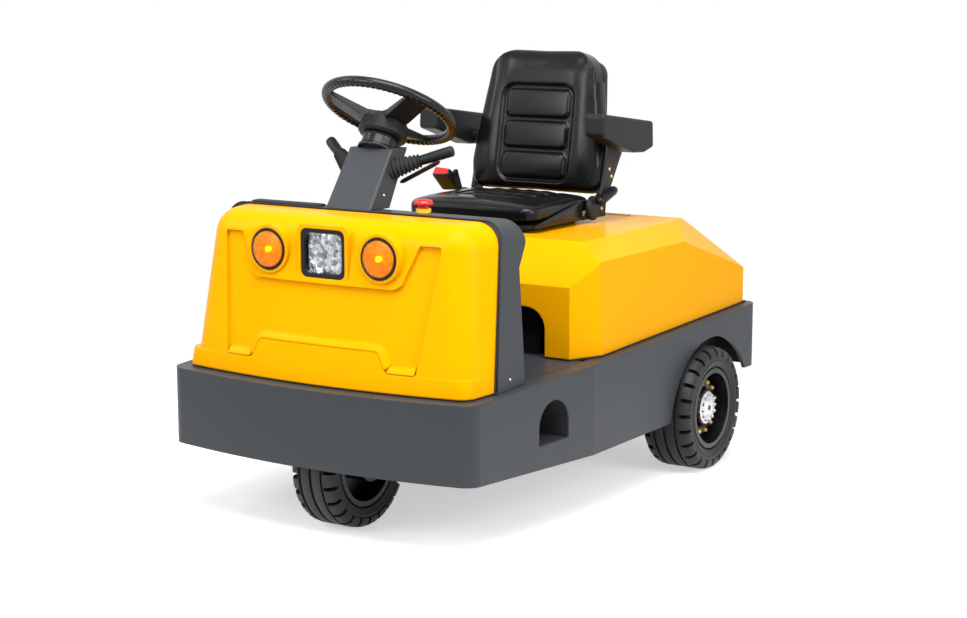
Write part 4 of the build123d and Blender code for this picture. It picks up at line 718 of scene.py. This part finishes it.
s = np.linspace(0, 1, 26)
dome_r = LAMP_R * np.sin(s * np.pi / 2)
dome_y = 0.016 + 0.015 * np.cos(s * np.pi / 2) + RING_DEEP * np.cos(s * 2 * np.pi * LENS_RINGS)
outside = [*zip(dome_r, dome_y), (LAMP_R, 0.008), (LAMP_R, 0.0)]
inner_r = LAMP_R - LENS_WALL
inside = [(inner_r, 0.0), (inner_r, 0.014), *zip(dome_r[::-1] * 0.93, dome_y[::-1] - 0.0035)]
dish = [(0.0, 0.0005), (0.020, 0.0015), (0.036, 0.005), (0.048, 0.011), (0.0522, 0.0135), (0.0522, 0.0002),
        (0.0, 0.0002)]
bulb = [(0.0, 0.0215), (0.006, 0.0205), (0.0095, 0.017), (0.010, 0.012), (0.008, 0.003), (0.0, 0.003)]
lamp_pair("amber_lenses", [*outside, *inside], 56, amber_lens, "turn_lamps")
lamp_pair("lamp_dishes", dish, 40, amber_dish)
# the glowing bulbs are a painted highlight
lamp_pair("lamp_bulbs", bulb, 24, bulb_painted_highlight)
print("direction lamps: 2, rings on each lens:", LENS_RINGS)

# %% [markdown]
# ## Headlamp
# The headlamp is a silvered dish of flat facets behind a flat window. The dish is a grid of points: its
# sides are pinched inwards towards the corners, the middle lies deeper, and a small random unevenness
# turns every facet a little, so that each catches another light.

# %% Headlamp dish
HEAD_X, HEAD_Z = 0.0, 0.860
HEAD_HALF = np.array([0.0685, 0.0605])
DISH_Y, DISH_WALL = -0.8690, 0.0007
GRID, PINCH, DISH_DEEP, UNEVEN = 15, 0.30, 0.0065, 0.0009
rng = np.random.default_rng(7)
line = np.linspace(-1, 1, GRID)
gx, gz = np.meshgrid(line, line, indexing="ij")
fx = np.clip(gx * np.sqrt(1 - PINCH * gz**2) / 0.9, -1, 1) * (HEAD_HALF[0] - 0.002)
fz = np.clip(gz * np.sqrt(1 - PINCH * gx**2) / 0.9, -1, 1) * (HEAD_HALF[1] - 0.002)
deep = DISH_DEEP * (1 - np.clip(gx**2 + gz**2, 0, 1)) + rng.uniform(-UNEVEN, UNEVEN, gx.shape)
deep = np.where((np.abs(gx) > 0.99) | (np.abs(gz) > 0.99), 0.0, deep)
facets = np.stack([HEAD_X + fx, DISH_Y + deep, HEAD_Z + fz], axis=-1).reshape(-1, 3)
quads = grid_faces(GRID, GRID)
# the four sides of the grid in turn make one loop, along which a narrow wall closes the dish
number = np.arange(GRID * GRID).reshape(GRID, GRID)
loop = np.concatenate([number[0, :], number[1:, -1], number[-1, -2::-1], number[-2:0:-1, 0]])
ahead = np.roll(loop, -1)
wall = np.stack([loop, ahead, ahead + GRID * GRID, loop + GRID * GRID], axis=-1)
points = np.concatenate([facets, facets + (0, DISH_WALL, 0)])
faces = np.concatenate([quads, quads[:, ::-1] + GRID * GRID, wall])
put_piece("headlamp_dish", points, faces, "chassis", mirror_dish, "clear_lens", sharp_deg=4)
print("headlamp facets:", (GRID - 1) ** 2)

# %% [markdown]
# ## Headlamp window
# The window is a clear plastic slab with rounded corners and a softened front rim. It is built as one
# rounded outline, drawn in a little more at each layer towards the front.


# %% Headlamp window
def rounded_outline(half_x, half_z, corner, per=8):
    """Closed loop of a rounded rectangle: corner centre + corner (cos t, sin t) over the four quarters."""
    t = np.linspace(0, np.pi / 2, per)
    loops = []
    for sx, sz, turn in ((1, 1, 0.0), (-1, 1, np.pi / 2), (-1, -1, np.pi), (1, -1, 1.5 * np.pi)):
        loops.append(np.stack([sx * (half_x - corner) + corner * np.cos(t + turn),
                               sz * (half_z - corner) + corner * np.sin(t + turn)], axis=-1))
    return np.concatenate(loops)


def slab(half, corner, layers, centre_x, centre_z):
    """Closed slab across Y: the outline drawn in by an inset at each layer's depth (inset, y)."""
    rings = []
    for inset, y in layers:
        loop = rounded_outline(half[0] - inset, half[1] - inset, corner - inset)
        rings.append(np.stack([centre_x + loop[:, 0], np.full(len(loop), y), centre_z + loop[:, 1]], axis=-1))
    first, last = (np.full_like(rings[0], (centre_x, y, centre_z)) for y in (layers[0][1], layers[-1][1]))
    rings = [first, *rings, last]
    return np.concatenate(rings), grid_faces(len(rings), len(first), wrap_cols=True)


WINDOW_GAP, WINDOW_CORNER = 0.0002, 0.019
WINDOW_LAYERS = [(0.0, -0.8705), (0.0, -0.8745), (0.0015, -0.8765), (0.004, -0.8772)]
window = slab(HEAD_HALF - WINDOW_GAP, WINDOW_CORNER, WINDOW_LAYERS, HEAD_X, HEAD_Z)
put_piece("headlamp_window", *window, "chassis", clear_lens, "clear_lens", sharp_deg=40, node="headlamp_lens")
print("headlamp window from y", WINDOW_LAYERS[0][1], "to", WINDOW_LAYERS[-1][1])

# %% [markdown]
# ## Seat
# The seat is vinyl drawn over moulded foam. Each cushion starts as a copy of its CAD solid with even small
# faces, slightly shrunk. Cloth with air pressure inside swells it, so that the faces crown and the edges
# soften. A cap keeps each point near its start, the move is evened over its neighbours so that no wrinkle
# stays, and the result is stretched to fit the room between the pan, the shell and the side plates.


# %% Foam under vinyl
def evaluated_copy(piece, name):
    """New mesh of an object with its modifiers worked out."""
    graph = bpy.context.evaluated_depsgraph_get()
    graph.update()
    mesh = bpy.data.meshes.new_from_object(piece.evaluated_get(graph), depsgraph=graph)
    mesh.name = name
    return mesh


def mesh_points(mesh):
    """Vertex places as an (n, 3) array."""
    co = np.empty(len(mesh.vertices) * 3, dtype=np.float32)
    mesh.vertices.foreach_get("co", co)
    return co.reshape(-1, 3).astype(float)


def mesh_normals(mesh):
    """Vertex normals as an (n, 3) array."""
    normals = np.empty(len(mesh.vertices) * 3, dtype=np.float32)
    mesh.vertex_normals.foreach_get("vector", normals)
    return normals.reshape(-1, 3).astype(float)


def set_points(mesh, points):
    """Write vertex places back."""
    mesh.vertices.foreach_set("co", np.asarray(points, dtype=np.float32).ravel())
    mesh.update()


def evened(mesh, field, rounds):
    """Smooth a per-vertex field over the mesh: each round mixes in half of the mean of the neighbours."""
    ends = np.empty(len(mesh.edges) * 2, dtype=np.int32)
    mesh.edges.foreach_get("vertices", ends)
    a, b = ends.reshape(-1, 2).T
    near, count = np.concatenate([a, b]), len(field)
    other = np.concatenate([b, a])
    degree = np.bincount(near, minlength=count)[:, None]
    for _ in range(rounds):
        total = [np.bincount(near, weights=field[other, k], minlength=count) for k in range(3)]
        field = 0.5 * field + 0.5 * np.stack(total, axis=-1) / degree
    return field


VOXEL, SHRINK, CAP = 0.006, 0.004, 0.022     # face size, first shrinking and the largest move, in metres
PRESSURE, STIFFNESS, FRAMES = 4.0, 5.0, 20
EVENING_ROUNDS, SIDEWAYS = 60, 0.25          # SIDEWAYS is the share of the sideways move that is kept


def foam(name, node, relaxing, facing):
    """Swollen closed mesh: start - SHRINK n + evened cloth move, whole along facing and partly sideways."""
    piece = bpy.data.objects.new(name, nodes[node].data.copy())
    bpy.context.collection.objects.link(piece)
    remesh = piece.modifiers.new("even", "REMESH")
    remesh.mode = "VOXEL"
    remesh.voxel_size = VOXEL
    relax = piece.modifiers.new("relax", "SMOOTH")
    relax.factor = 0.5
    relax.iterations = relaxing
    mesh = evaluated_copy(piece, name + "_even")
    piece.modifiers.clear()
    piece.data = mesh
    rest = mesh_points(mesh) - SHRINK * mesh_normals(mesh)
    set_points(mesh, rest)
    cloth = piece.modifiers.new("air", "CLOTH")
    cloth.settings.use_pressure = True
    cloth.settings.uniform_pressure_force = PRESSURE
    cloth.settings.bending_stiffness = STIFFNESS
    cloth.settings.effector_weights.gravity = 0.0
    cloth.settings.quality = 4
    cloth.point_cache.frame_start = 1
    cloth.point_cache.frame_end = FRAMES
    for frame_number in range(1, FRAMES + 1):
        bpy.context.scene.frame_set(frame_number)
    move = mesh_points(evaluated_copy(piece, name + "_swollen")) - rest
    far = np.linalg.norm(move, axis=1, keepdims=True)
    piece.modifiers.clear()
    move = evened(mesh, move * np.minimum(1.0, CAP / np.maximum(far, 1e-9)), EVENING_ROUNDS)
    move = SIDEWAYS * move + (1 - SIDEWAYS) * (move @ facing)[:, None] * facing
    set_points(mesh, rest + move)
    bpy.context.scene.frame_set(1)
    print(name, "largest move before the cap, mm:", round(float(far.max()) * 1000, 1))
    fine = piece.modifiers.new("fine", "SUBSURF")
    fine.levels = fine.render_levels = 1
    mesh = evaluated_copy(piece, name + "_fine")
    piece.modifiers.clear()
    piece.data = mesh
    return piece


def fitted(values, low, high):
    """Stretch values so that they run from low to high."""
    return low + (values - values.min()) * (high - low) / (values.max() - values.min())


def box_distance(x, y, mid, half, corner):
    """Distance to a rounded box: |max(q, 0)| + min(max(q), 0) - corner with q = |p - mid| - half + corner."""
    qx = np.abs(x - mid[0]) - half[0] + corner
    qy = np.abs(y - mid[1]) - half[1] + corner
    return np.hypot(np.maximum(qx, 0), np.maximum(qy, 0)) + np.minimum(np.maximum(qx, qy), 0) - corner


PAD_RISE, PAD_CROWN = 0.85, 0.005


def sewn_panel(x, y, panel, pads, deep):
    """Height over a face: -deep inside the panel's rounded edge, back up by most of it on each crowned pad."""
    mid, half, corner = panel
    height = -deep * (1 - smooth_step(box_distance(x, y, mid, half, corner), -0.010, 0.006))
    for mid, half, corner in pads:
        inside = 1 - smooth_step(box_distance(x, y, mid, half, corner), -0.009, 0.003)
        crown_x, crown_y = (np.clip(1 - ((p - m) / h) ** 2, 0, 1) for p, m, h in zip((x, y), mid, half))
        height = height + inside * (deep * PAD_RISE + PAD_CROWN * np.sqrt(crown_x * crown_y))
    return height


print("foam settings: pressure", PRESSURE, "over", FRAMES, "frames")

# %% [markdown]
# ## Cushion
# The vinyl cushion has a sunk middle panel with three crowned pads sewn across it, and slight pulls in the
# stretched cover. The height of a point over the top face is a formula of its place, and it only acts where
# the surface faces up. Sculpting would give the same shape, but it couldn't be changed by a number later.

# %% Cushion
SEAT_X = -0.025
SEAT_HALF_X = 0.2490                       # the side plates start 1.3 mm beyond this
CUSHION_FRONT, CUSHION_BACK = -0.0600, 0.3480
PAN_TOP, CUSHION_TOP = 0.8684, 0.9440
PAD_MIDS = (0.112, 0.198, 0.284)
UP = np.array([0.0, 0.0, 1.0])
cushion = foam("seat_cushion_soft", "seat_cushion", 8, UP)
p = mesh_points(cushion.data)
x = fitted(p[:, 0] - SEAT_X, -SEAT_HALF_X, SEAT_HALF_X)
y = fitted(p[:, 1], CUSHION_FRONT, CUSHION_BACK)
z = fitted(p[:, 2], PAN_TOP, CUSHION_TOP)
set_points(cushion.data, np.stack([SEAT_X + x, y, z], axis=-1))
n = mesh_normals(cushion.data)
panel = ((0.0, 0.200), (0.150, 0.135), 0.035)
pads = [((0.0, mid), (0.134, 0.037), 0.018) for mid in PAD_MIDS]
lift = sewn_panel(x, y, panel, pads, 0.010)
pulls = 0.0012 * np.sin(x * 95 + 2.0 * np.sin(y * 40))
pulls = pulls * (1 - smooth_step(np.abs(x), 0.10, 0.15)) * smooth_step(y, 0.05, 0.10)
z = z + smooth_step(n @ UP, 0.3, 0.8) * (lift + pulls)
set_points(cushion.data, np.stack([SEAT_X + x, y, z], axis=-1))
print("cushion faces:", len(cushion.data.polygons))

# %% [markdown]
# ## Backrest
# The backrest is made like the cushion, in its own directions: across, up along its lean, and out to the
# front. It narrows towards the top, both top corners are rounded, and its sides are raised a little to hold
# the driver. The last step keeps it between the side plates.

# %% Backrest
BACK_FOOT = np.array([SEAT_X, 0.352, 0.958])
BACK_ACROSS = np.array([1.0, 0.0, 0.0])
BACK_LEAN = math.radians(10)
BACK_UP = np.array([0.0, math.sin(BACK_LEAN), math.cos(BACK_LEAN)])
BACK_OUT = np.array([0.0, -math.cos(BACK_LEAN), math.sin(BACK_LEAN)])
PLATE_INSIDE = 0.2575     # the arm plates on both sides start 1 mm beyond this


def back_place(x, up, out):
    """Points from the backrest's own directions: foot + x across + up along the lean + out to the front."""
    return BACK_FOOT + x[:, None] * BACK_ACROSS + up[:, None] * BACK_UP + out[:, None] * BACK_OUT


BACK_FOOT_UP, BACK_TOP_UP = -0.018, 0.474
BACK_HALF_X, BACK_NARROWING = 0.262, 0.07
TOP_CORNER = 0.105
backrest = foam("backrest_soft", "backrest", 30, BACK_OUT)
p = mesh_points(backrest.data) - BACK_FOOT
up, out = fitted(p @ BACK_UP, BACK_FOOT_UP, BACK_TOP_UP), fitted(p @ BACK_OUT, -0.0898, 0.0120)
x = p[:, 0] * (BACK_HALF_X / np.abs(p[:, 0]).max())
x = x * (1 - BACK_NARROWING * smooth_step(up, 0.15, 0.47))
qx, qy = np.abs(x) - 0.107, up - (BACK_TOP_UP - TOP_CORNER)     # from the centre of each top corner's arc
over = np.hypot(qx, qy)
pull_in = 1 - np.where((qx > 0) & (qy > 0), np.minimum(1.0, TOP_CORNER / np.maximum(over, 1e-9)), 1.0)
x, up = np.sign(x) * (np.abs(x) - qx * pull_in), fitted(up - qy * pull_in, BACK_FOOT_UP, BACK_TOP_UP)
set_points(backrest.data, back_place(x, up, out))
n = mesh_normals(backrest.data)
panel = ((0.0, 0.181), (0.146, 0.171), 0.050)
pads = [((0.0, mid), (0.129, half), 0.024) for mid, half in ((0.284, 0.050), (0.174, 0.048), (0.067, 0.047))]
lift = sewn_panel(x, up, panel, pads, 0.013)
bolster = 0.006 * smooth_step(np.abs(x), 0.13, 0.19)
out = out + smooth_step(n @ BACK_OUT, 0.3, 0.8) * (lift + bolster)
p = back_place(x, up, out)
# the limit widens by 20 mm in front of the arm plates and above them
ahead = smooth_step(0.362 + 0.28 * (p[:, 2] - 0.934) - p[:, 1], 0.0, 0.04)
limit = PLATE_INSIDE + 0.02 * np.maximum(ahead, smooth_step(p[:, 2], 1.155, 1.20))
set_points(backrest.data, back_place(np.clip(x, -limit, limit), up, out))
print("backrest faces:", len(backrest.data.polygons))

# %% [markdown]
# ## Vinyl on both
# Both soft pieces stand for a CAD node, and each rides with it.

# %% Vinyl on both
for piece, node, body in ((cushion, "seat_cushion", "seat_hood"), (backrest, "backrest", "back")):
    piece.data.materials.clear()
    piece.data.materials.append(black_vinyl)
    piece.data.shade_smooth()
    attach(piece, body)
    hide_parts(node)
    print(piece.name, "rides on", body)

# %% [markdown]
# ## Piping, seals and small black pieces
# A cord is sewn in where the vinyl meets the shell, and a rubber seal lies in the joint between the front
# hood and the cowl. Both are thin tubes along an outline whose corners are true arcs.


# %% Tubes along outlines
def rounded_loop(corners, radii, per=9):
    """Loop with each corner replaced by an arc: centre + (sin((1-s)a) v0 + sin(s a) v1) / sin a."""
    corners = np.asarray(corners, dtype=float)
    arcs = []
    s = np.linspace(0, 1, per)[:, None]
    for before, here, after, radius in zip(np.roll(corners, 1, 0), corners, np.roll(corners, -1, 0), radii):
        a, b = before - here, after - here
        a, b = a / np.linalg.norm(a), b / np.linalg.norm(b)
        half = 0.5 * math.acos(float(np.clip(a @ b, -1, 1)))
        centre = here + (a + b) / np.linalg.norm(a + b) * radius / math.sin(half)
        v0, v1 = here + a * radius / math.tan(half) - centre, here + b * radius / math.tan(half) - centre
        angle = math.pi - 2 * half
        arcs.append(centre + (np.sin((1 - s) * angle) * v0 + np.sin(s * angle) * v1) / math.sin(angle))
    return np.concatenate(arcs)


def cord(path, normal, radius, closed=True, steps=10):
    """Tube along a flat path: path + radius (cos t normal + sin t side), side = way x normal."""
    path = np.asarray(path, dtype=float)
    normal = np.asarray(normal, dtype=float)
    way = np.roll(path, -1, 0) - np.roll(path, 1, 0) if closed else np.gradient(path, axis=0)
    side = np.cross(way / np.linalg.norm(way, axis=1)[:, None], normal)
    t = np.arange(steps) * 2 * np.pi / steps
    ring = np.cos(t)[None, :, None] * normal + np.sin(t)[None, :, None] * side[:, None]
    points = path[:, None] + radius * ring
    if closed:
        return points.reshape(-1, 3), grid_faces(len(path), steps, True, True)
    ends = np.repeat(path[[0, -1]][:, None], steps, axis=1)
    points = np.concatenate([ends[:1], points, ends[1:]])
    return points.reshape(-1, 3), grid_faces(len(path) + 2, steps, wrap_cols=True)


CORD_HALF, CORD_H, CORD_OUT, CORD_R = 0.244, 0.458, -0.0760, 0.0036
outline = rounded_loop(
    [(-CORD_HALF + 0.012, 0.002), (CORD_HALF - 0.012, 0.002), (CORD_HALF, 0.090), (CORD_HALF - 0.040, CORD_H),
     (-CORD_HALF + 0.040, CORD_H), (-CORD_HALF, 0.090)],
    (0.050, 0.050, 0.030, 0.085, 0.085, 0.030),
)
spots = back_place(outline[:, 0], outline[:, 1], np.full(len(outline), CORD_OUT))
put_piece("back_piping", *cord(spots, BACK_OUT, CORD_R), "back", dark_rubber, "black_vinyl", sharp_deg=180)

SEAM_TILT = math.atan2(0.089, 0.506)       # the joint between hood and cowl leans back from the foot
SEAM_NORMAL = np.array([0.0, math.cos(SEAM_TILT), -math.sin(SEAM_TILT)])
SEAM_FOOT_Y, SEAM_FOOT_Z = -0.789, 0.460
PER_CORNER = 13
corners = [(0.549, 0.480), (0.509, 0.970), (-0.509, 0.970), (-0.549, 0.480)]
# the seal ends at both feet, so the arcs there keep only their end that meets the run
seal = rounded_loop(corners, (0.001, 0.060, 0.060, 0.001), PER_CORNER)[PER_CORNER - 1:1 - PER_CORNER]
seal_y = SEAM_FOOT_Y + (seal[:, 1] - SEAM_FOOT_Z) * math.tan(SEAM_TILT)
points, faces = cord(np.stack([seal[:, 0], seal_y, seal[:, 1]], axis=-1), SEAM_NORMAL, 0.0030, closed=False)
put_piece("hood_seal", points, faces, "chassis", dark_rubber, "gasket_rubber", sharp_deg=180)
print("cords:", len(outline), "and", len(seal), "points")

# %% [markdown]
# ## Plates, covers and small hardware
# Stamped plates and moulded covers are flat outlines with softened rims. They are built as stacked rings of
# one outline, each drawn in along the outline's own normal. Screws and bolts are small turned heads.


# %% Plates with soft rims
def plate(outline, origin, u, v, layers):
    """Closed slab: ring k = origin + (outline - inset_k n) in the directions u, v + depth_k (u x v)."""
    outline = np.asarray(outline, dtype=float)
    origin, u, v = (np.asarray(w, dtype=float) for w in (origin, u, v))
    way = np.roll(outline, -1, 0) - np.roll(outline, 1, 0)
    out = np.stack([way[:, 1], -way[:, 0]], axis=-1) / np.linalg.norm(way, axis=1)[:, None]
    area = np.sum(outline[:, 0] * np.roll(outline[:, 1], -1) - outline[:, 1] * np.roll(outline[:, 0], -1))
    out *= np.sign(area)
    rings = []
    for inset, depth in layers:
        loop = outline - inset * out
        rings.append(origin + loop[:, :1] * u + loop[:, 1:] * v + depth * np.cross(u, v))
    middle = [np.repeat(ring.mean(axis=0)[None], len(ring), axis=0) for ring in (rings[0], rings[-1])]
    rings = [middle[0], *rings, middle[1]]
    return np.concatenate(rings), grid_faces(len(rings), len(outline), wrap_cols=True)


def soft_rim(thick, soft):
    """Layers of a plate whose two rims are rounded: inset falls from soft to nothing over the same depth."""
    first = [(soft, 0.0), (soft * 0.3, soft * 0.3), (0.0, soft)]
    return first + [(inset, thick - depth) for inset, depth in first[::-1]]


print("plate helpers ready")

# %% [markdown]
# ## Seat side plates
# A black wedge-shaped plate covers each end of the seat's hinge. It is an outline of four rounded corners,
# given a thickness and soft rims by the helper above.

# %% Seat side plates
side_shape = rounded_loop([(-0.048, 0.8595), (0.266, 0.8595), (0.266, 0.9240), (-0.048, 0.8680)],
                          (0.003, 0.004, 0.012, 0.003), 7)
SIDE_THICK, SIDE_SOFT, SIDE_IN = 0.006, 0.0015, 0.2503
sides = [plate(side_shape, (SEAT_X + inner, 0, 0), (0, 1, 0), (0, 0, 1), soft_rim(SIDE_THICK, SIDE_SOFT))
         for inner in (SIDE_IN, -SIDE_IN - SIDE_THICK)]
put_piece("seat_side_plates", *joined(sides), "seat_hood", black_gloss, "black_plastic")
print("seat side plates:", len(sides))

# %% [markdown]
# ## Belt buckle
# The buckle's black housing leans forward from its stalk beside the seat, with the red push key at its
# upper end. Both are plates that grow along the lean, each layer a little smaller at the rim.

# %% Belt buckle
BUCKLE_FOOT = np.array([-0.3035, 0.322, 0.932])
BUCKLE_LONG = 0.0958
LEAN = np.array([0.0, -0.75, 0.6614])
thin = np.cross(LEAN, (1.0, 0, 0))
case = [(0.0, -0.015), (-0.068, -0.020), (-0.068, 0.020), (0.0, 0.015)]
case = rounded_loop(case, (0.007, 0.010, 0.010, 0.007), 7)
case_layers = [(0.006, 0.0), (0.0, 0.010), (0.0, 0.088), (0.002, 0.094), (0.004, 0.096)]
key = rounded_loop([(-0.006, -0.011), (-0.062, -0.015), (-0.062, 0.015), (-0.006, 0.011)], (0.004,) * 4, 7)
key_layers = [(0.0, 0.0), (0.0, 0.003), (0.0015, 0.0045)]
key_foot = BUCKLE_FOOT + BUCKLE_LONG * LEAN
put_piece("buckle_case", *plate(case, BUCKLE_FOOT, (1, 0, 0), thin, case_layers), "seat_hood", black_plastic,
          "black_plastic", sharp_deg=50)
put_piece("buckle_key", *plate(key, key_foot, (1, 0, 0), thin, key_layers), "seat_hood", red_plastic,
          "red_plastic")
print("buckle key at", key_foot.round(3))

# %% [markdown]
# ## Recline handle
# A fat black grip beside the seat sets the backrest's lean. It is a tube swept along a straight path, whose
# radius is fullest in the middle and closes over the ends.

# %% Recline handle
HANDLE_FROM, HANDLE_WAY = np.array([0.2600, 0.326, 0.912]), np.array([0.004, 0.108, 0.040])
s = np.linspace(0, 1, 24)
grip_r = 0.0185 * (1 - np.abs(2 * s - 1) ** 6 * 0.35) * np.sqrt(np.clip(1 - (2 * s - 1) ** 20, 0.05, 1))
handle = swept(HANDLE_FROM + s[:, None] * HANDLE_WAY, grip_r, 24, 0.85)
put_piece("recline_handle", *handle, "seat_hood", black_gloss, "black_plastic", sharp_deg=180)
print("recline handle length, mm:", round(float(np.linalg.norm(HANDLE_WAY)) * 1000))

# %% [markdown]
# ## Bolts and screws
# Hinges, arms and covers are held by small domed heads with a socket. One profile serves them all, turned
# at each place so that its axis points to the vehicle's left or right.


# %% Bolts and screws
def dome_screw(size, height):
    """Profile of a low domed head with a small socket, standing on the origin."""
    return [(0.0, 0.0), (size, 0.0), (size, height * 0.4), (size * 0.8, height * 0.8), (size * 0.45, height),
            (size * 0.40, height * 0.55), (0.0, height * 0.55)]


def screw_set(name, profile, places, body, material):
    """One piece with the profile turned at each (side, x, y, z), pointing to +X or -X as side says."""
    heads = [turned(profile, np.array([x, y, z]), (side, 0, 0), 14) for side, x, y, z in places]
    put_piece(name, *joined(heads), body, material, "hub_steel")
    print(name, len(heads))


# distance from the seat's middle, y, z
HINGE_BOLTS = [(0.2583, 0.392, 0.884), (0.2583, 0.356, 0.870)]
ARM_BOLTS = [(0.2666, 0.432, 1.018), (0.2666, 0.446, 0.992), (0.2666, 0.402, 0.934)]
# side, x, y, z
COVER_SCREWS = [
    (1, 0.0290, -0.614, 1.012), (1, 0.0275, -0.562, 1.096), (-1, -0.139, -0.614, 1.012),
    (-1, -0.1375, -0.562, 1.096), (1, 0.5455, -0.706, 0.505), (-1, -0.5455, -0.706, 0.505),
]
both_sides = [[(side, SEAT_X + side * far, y, z) for side in (-1, 1) for far, y, z in spots]
              for spots in (HINGE_BOLTS, ARM_BOLTS)]
screw_set("hinge_bolts", dome_screw(0.0062, 0.005), both_sides[0], "seat_hood", brass)
screw_set("arm_bolts", dome_screw(0.0065, 0.0035), both_sides[1], "back", brass)
screw_set("cover_screws", dome_screw(0.0045, 0.003), COVER_SCREWS, "chassis", hub_steel)

# %% [markdown]
# ## Dots on the hub caps
# Each bright hub cap has a small dark plug in its middle, which turns with the wheel.

# %% Dots on the hub caps
HUB_DOT = [(0.0, 0.0), (0.009, 0.0), (0.009, 0.0008), (0.0075, 0.0014), (0.0, 0.0014)]
CAP_FACE = 0.0679     # the cap's face beyond the wheel's middle
for label, side in (("left", 1), ("right", -1)):
    body = "rear_" + label + "_wheel"
    axis = np.array([side, 0, 0])
    dot = turned(HUB_DOT, WHEEL_CENTRE[body] + axis * CAP_FACE, axis, 24)
    put_piece("hub_dot_" + label, *dot, body, rim_paint, "black_plastic")
    print("hub_dot_" + label, "rides on", body)

# %% [markdown]
# ## Dark strip of painted shade on the cowl
# A dark rubber ribbon lies on the cowl's top left of the column, as painted shade where the cowl's top lies
# in shade. It is a thin plate whose upper rim is rounded in two steps.

# %% Dark strip of painted shade on the cowl
COWL_TOP = 0.9700
strip = [(-0.440, -0.684), (-0.170, -0.684), (-0.170, -0.640), (-0.440, -0.640)]
strip = rounded_loop(strip, (0.012,) * 4, 8)
strip_layers = [(0.0, 0.0), (0.0, 0.004), (0.002, 0.006), (0.006, 0.007)]
strip = plate(strip, (0, 0, COWL_TOP), (1, 0, 0), (0, 1, 0), strip_layers)
# the dark strip is painted shade on the cowl's top
put_piece("cowl_shade_strip", *strip, "chassis", dark_rubber, "gasket_rubber")
print("cowl strip made")

# %% [markdown]
# ## Battery top
# The rear hood lifts for the battery. Its cells are closed by bayonet caps in rows, joined by flat lead
# bars. The rows are laid out inside the CAD battery's own box, so they stay on it if the battery changes.

# %% Cell caps and bars
ROWS, PER_ROW = 6, 4
MARGIN_X, MARGIN_Y, SINK = 0.10, 0.08, 0.0003
low, high = (np.array(corner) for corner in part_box("battery"))
top = float(high[2]) - SINK
xs = np.linspace(low[0] + MARGIN_X, high[0] - MARGIN_X, ROWS)
ys = np.linspace(low[1] + MARGIN_Y, high[1] - MARGIN_Y, PER_ROW)
spots = np.stack([*np.meshgrid(xs, ys, indexing="ij"), np.full((ROWS, PER_ROW), top)], axis=-1).reshape(-1, 3)
cap = [(0.0, 0.0), (0.021, 0.0), (0.021, 0.006), (0.019, 0.009), (0.011, 0.009), (0.010, 0.012), (0.0, 0.012)]
caps = copies(turned(cap, 0.0, (0, 0, 1), 20), spots)
put_piece("cell_caps", *caps, "chassis", yellow_plastic, "yellow_plastic")
bar = rounded_loop([(-0.013, -0.040), (0.013, -0.040), (0.013, 0.040), (-0.013, 0.040)], (0.006,) * 4, 5)
bar = plate(bar, (0, 0, 0), (1, 0, 0), (0, 1, 0), [(0.0, 0.0), (0.0, 0.004), (0.0015, 0.0055)])
between = spots[: (ROWS - 1) * PER_ROW] + (0.5 * (xs[1] - xs[0]), 0, 0)
put_piece("cell_bars", *copies(bar, between), "chassis", hub_steel, "hub_steel")
print("battery cells:", len(spots), "bars:", len(between), "battery top at", round(top, 3))

# %% [markdown]
# ## Slope above the hood's lower shelf
# The moulded hood runs from its sunk panel onto the shelf below over a slope, which catches the light from
# above. The slope is a strip along the shelf's outline, and rays cast at the hood give the depth at both
# edges, so that the strip meets the hood wherever it stands.

# %% Hood shelf slope
SLOPE = 0.026
RAY_FROM_Y, STEP_OFF, PROUD, THICK = -1.5, 0.004, 0.0004, 0.003
SHELF = [(-0.349, 0.530), (-0.250, 0.530), (-0.220, 0.590), (0.220, 0.590), (0.250, 0.530), (0.349, 0.530),
         (0.349, 0.400), (-0.349, 0.400)]
# the slice runs from the end of the first arc to the start of the sixth: the last two only close the loop
PER_ARC = 9
RADII = (0.001, 0.034, 0.020, 0.020, 0.034, 0.001, 0.001, 0.001)
shelf = rounded_loop(SHELF, RADII, PER_ARC)[PER_ARC - 1:5 * PER_ARC + 1]
length = np.concatenate([[0], np.cumsum(np.linalg.norm(np.diff(shelf, axis=0), axis=1))])
at = np.linspace(0, length[-1], 140)
shelf = np.stack([np.interp(at, length, shelf[:, k]) for k in (0, 1)], axis=-1)
way = np.gradient(shelf, axis=0)
rise = np.stack([-way[:, 1], way[:, 0]], axis=-1) / np.linalg.norm(way, axis=1)[:, None]


def hood_depth(spots):
    """Y of the front hood's face at each (x, z), where a ray from the front meets it."""
    hood = nodes["front_hood"]
    place, back = hood.matrix_world, hood.matrix_world.inverted()
    hits = [hood.ray_cast(back @ Vector((x, RAY_FROM_Y, z)), (0, 1, 0))[1] for x, z in spots]
    return np.array([(place @ hit).y for hit in hits])


low_y, high_y = hood_depth(shelf - STEP_OFF * rise), hood_depth(shelf + (SLOPE + STEP_OFF) * rise)
# share of the slope's height, and share of the depth between the shelf and the panel at that height
CURVE = [(-0.003, 0.0), (0.0, 0.01), (0.15, 0.06), (0.5, 0.45), (0.85, 0.90), (1.0, 0.985), (1.05, 1.0)]
rows = []
for step, share in CURVE:
    spot = shelf + step * SLOPE * rise
    rows.append(np.stack([spot[:, 0], low_y + (high_y - low_y) * share - PROUD, spot[:, 1]], axis=-1))
rows += [rows[-1] + (0, THICK, 0), rows[0] + (0, THICK, 0)]
strip = np.stack(rows, axis=1)
ends = np.repeat(strip[[0, -1]].mean(axis=1)[:, None], strip.shape[1], axis=1)
strip = np.concatenate([ends[:1], strip, ends[1:]])
faces = grid_faces(len(strip), strip.shape[1], wrap_cols=True)
put_piece("hood_shelf_slope", strip, faces, "chassis", yellow_paint, "yellow_paint", sharp_deg=50)
print("slope depth, mm:", ((high_y - low_y) * 1000).round(1)[[0, 40, 70, 100, 139]])
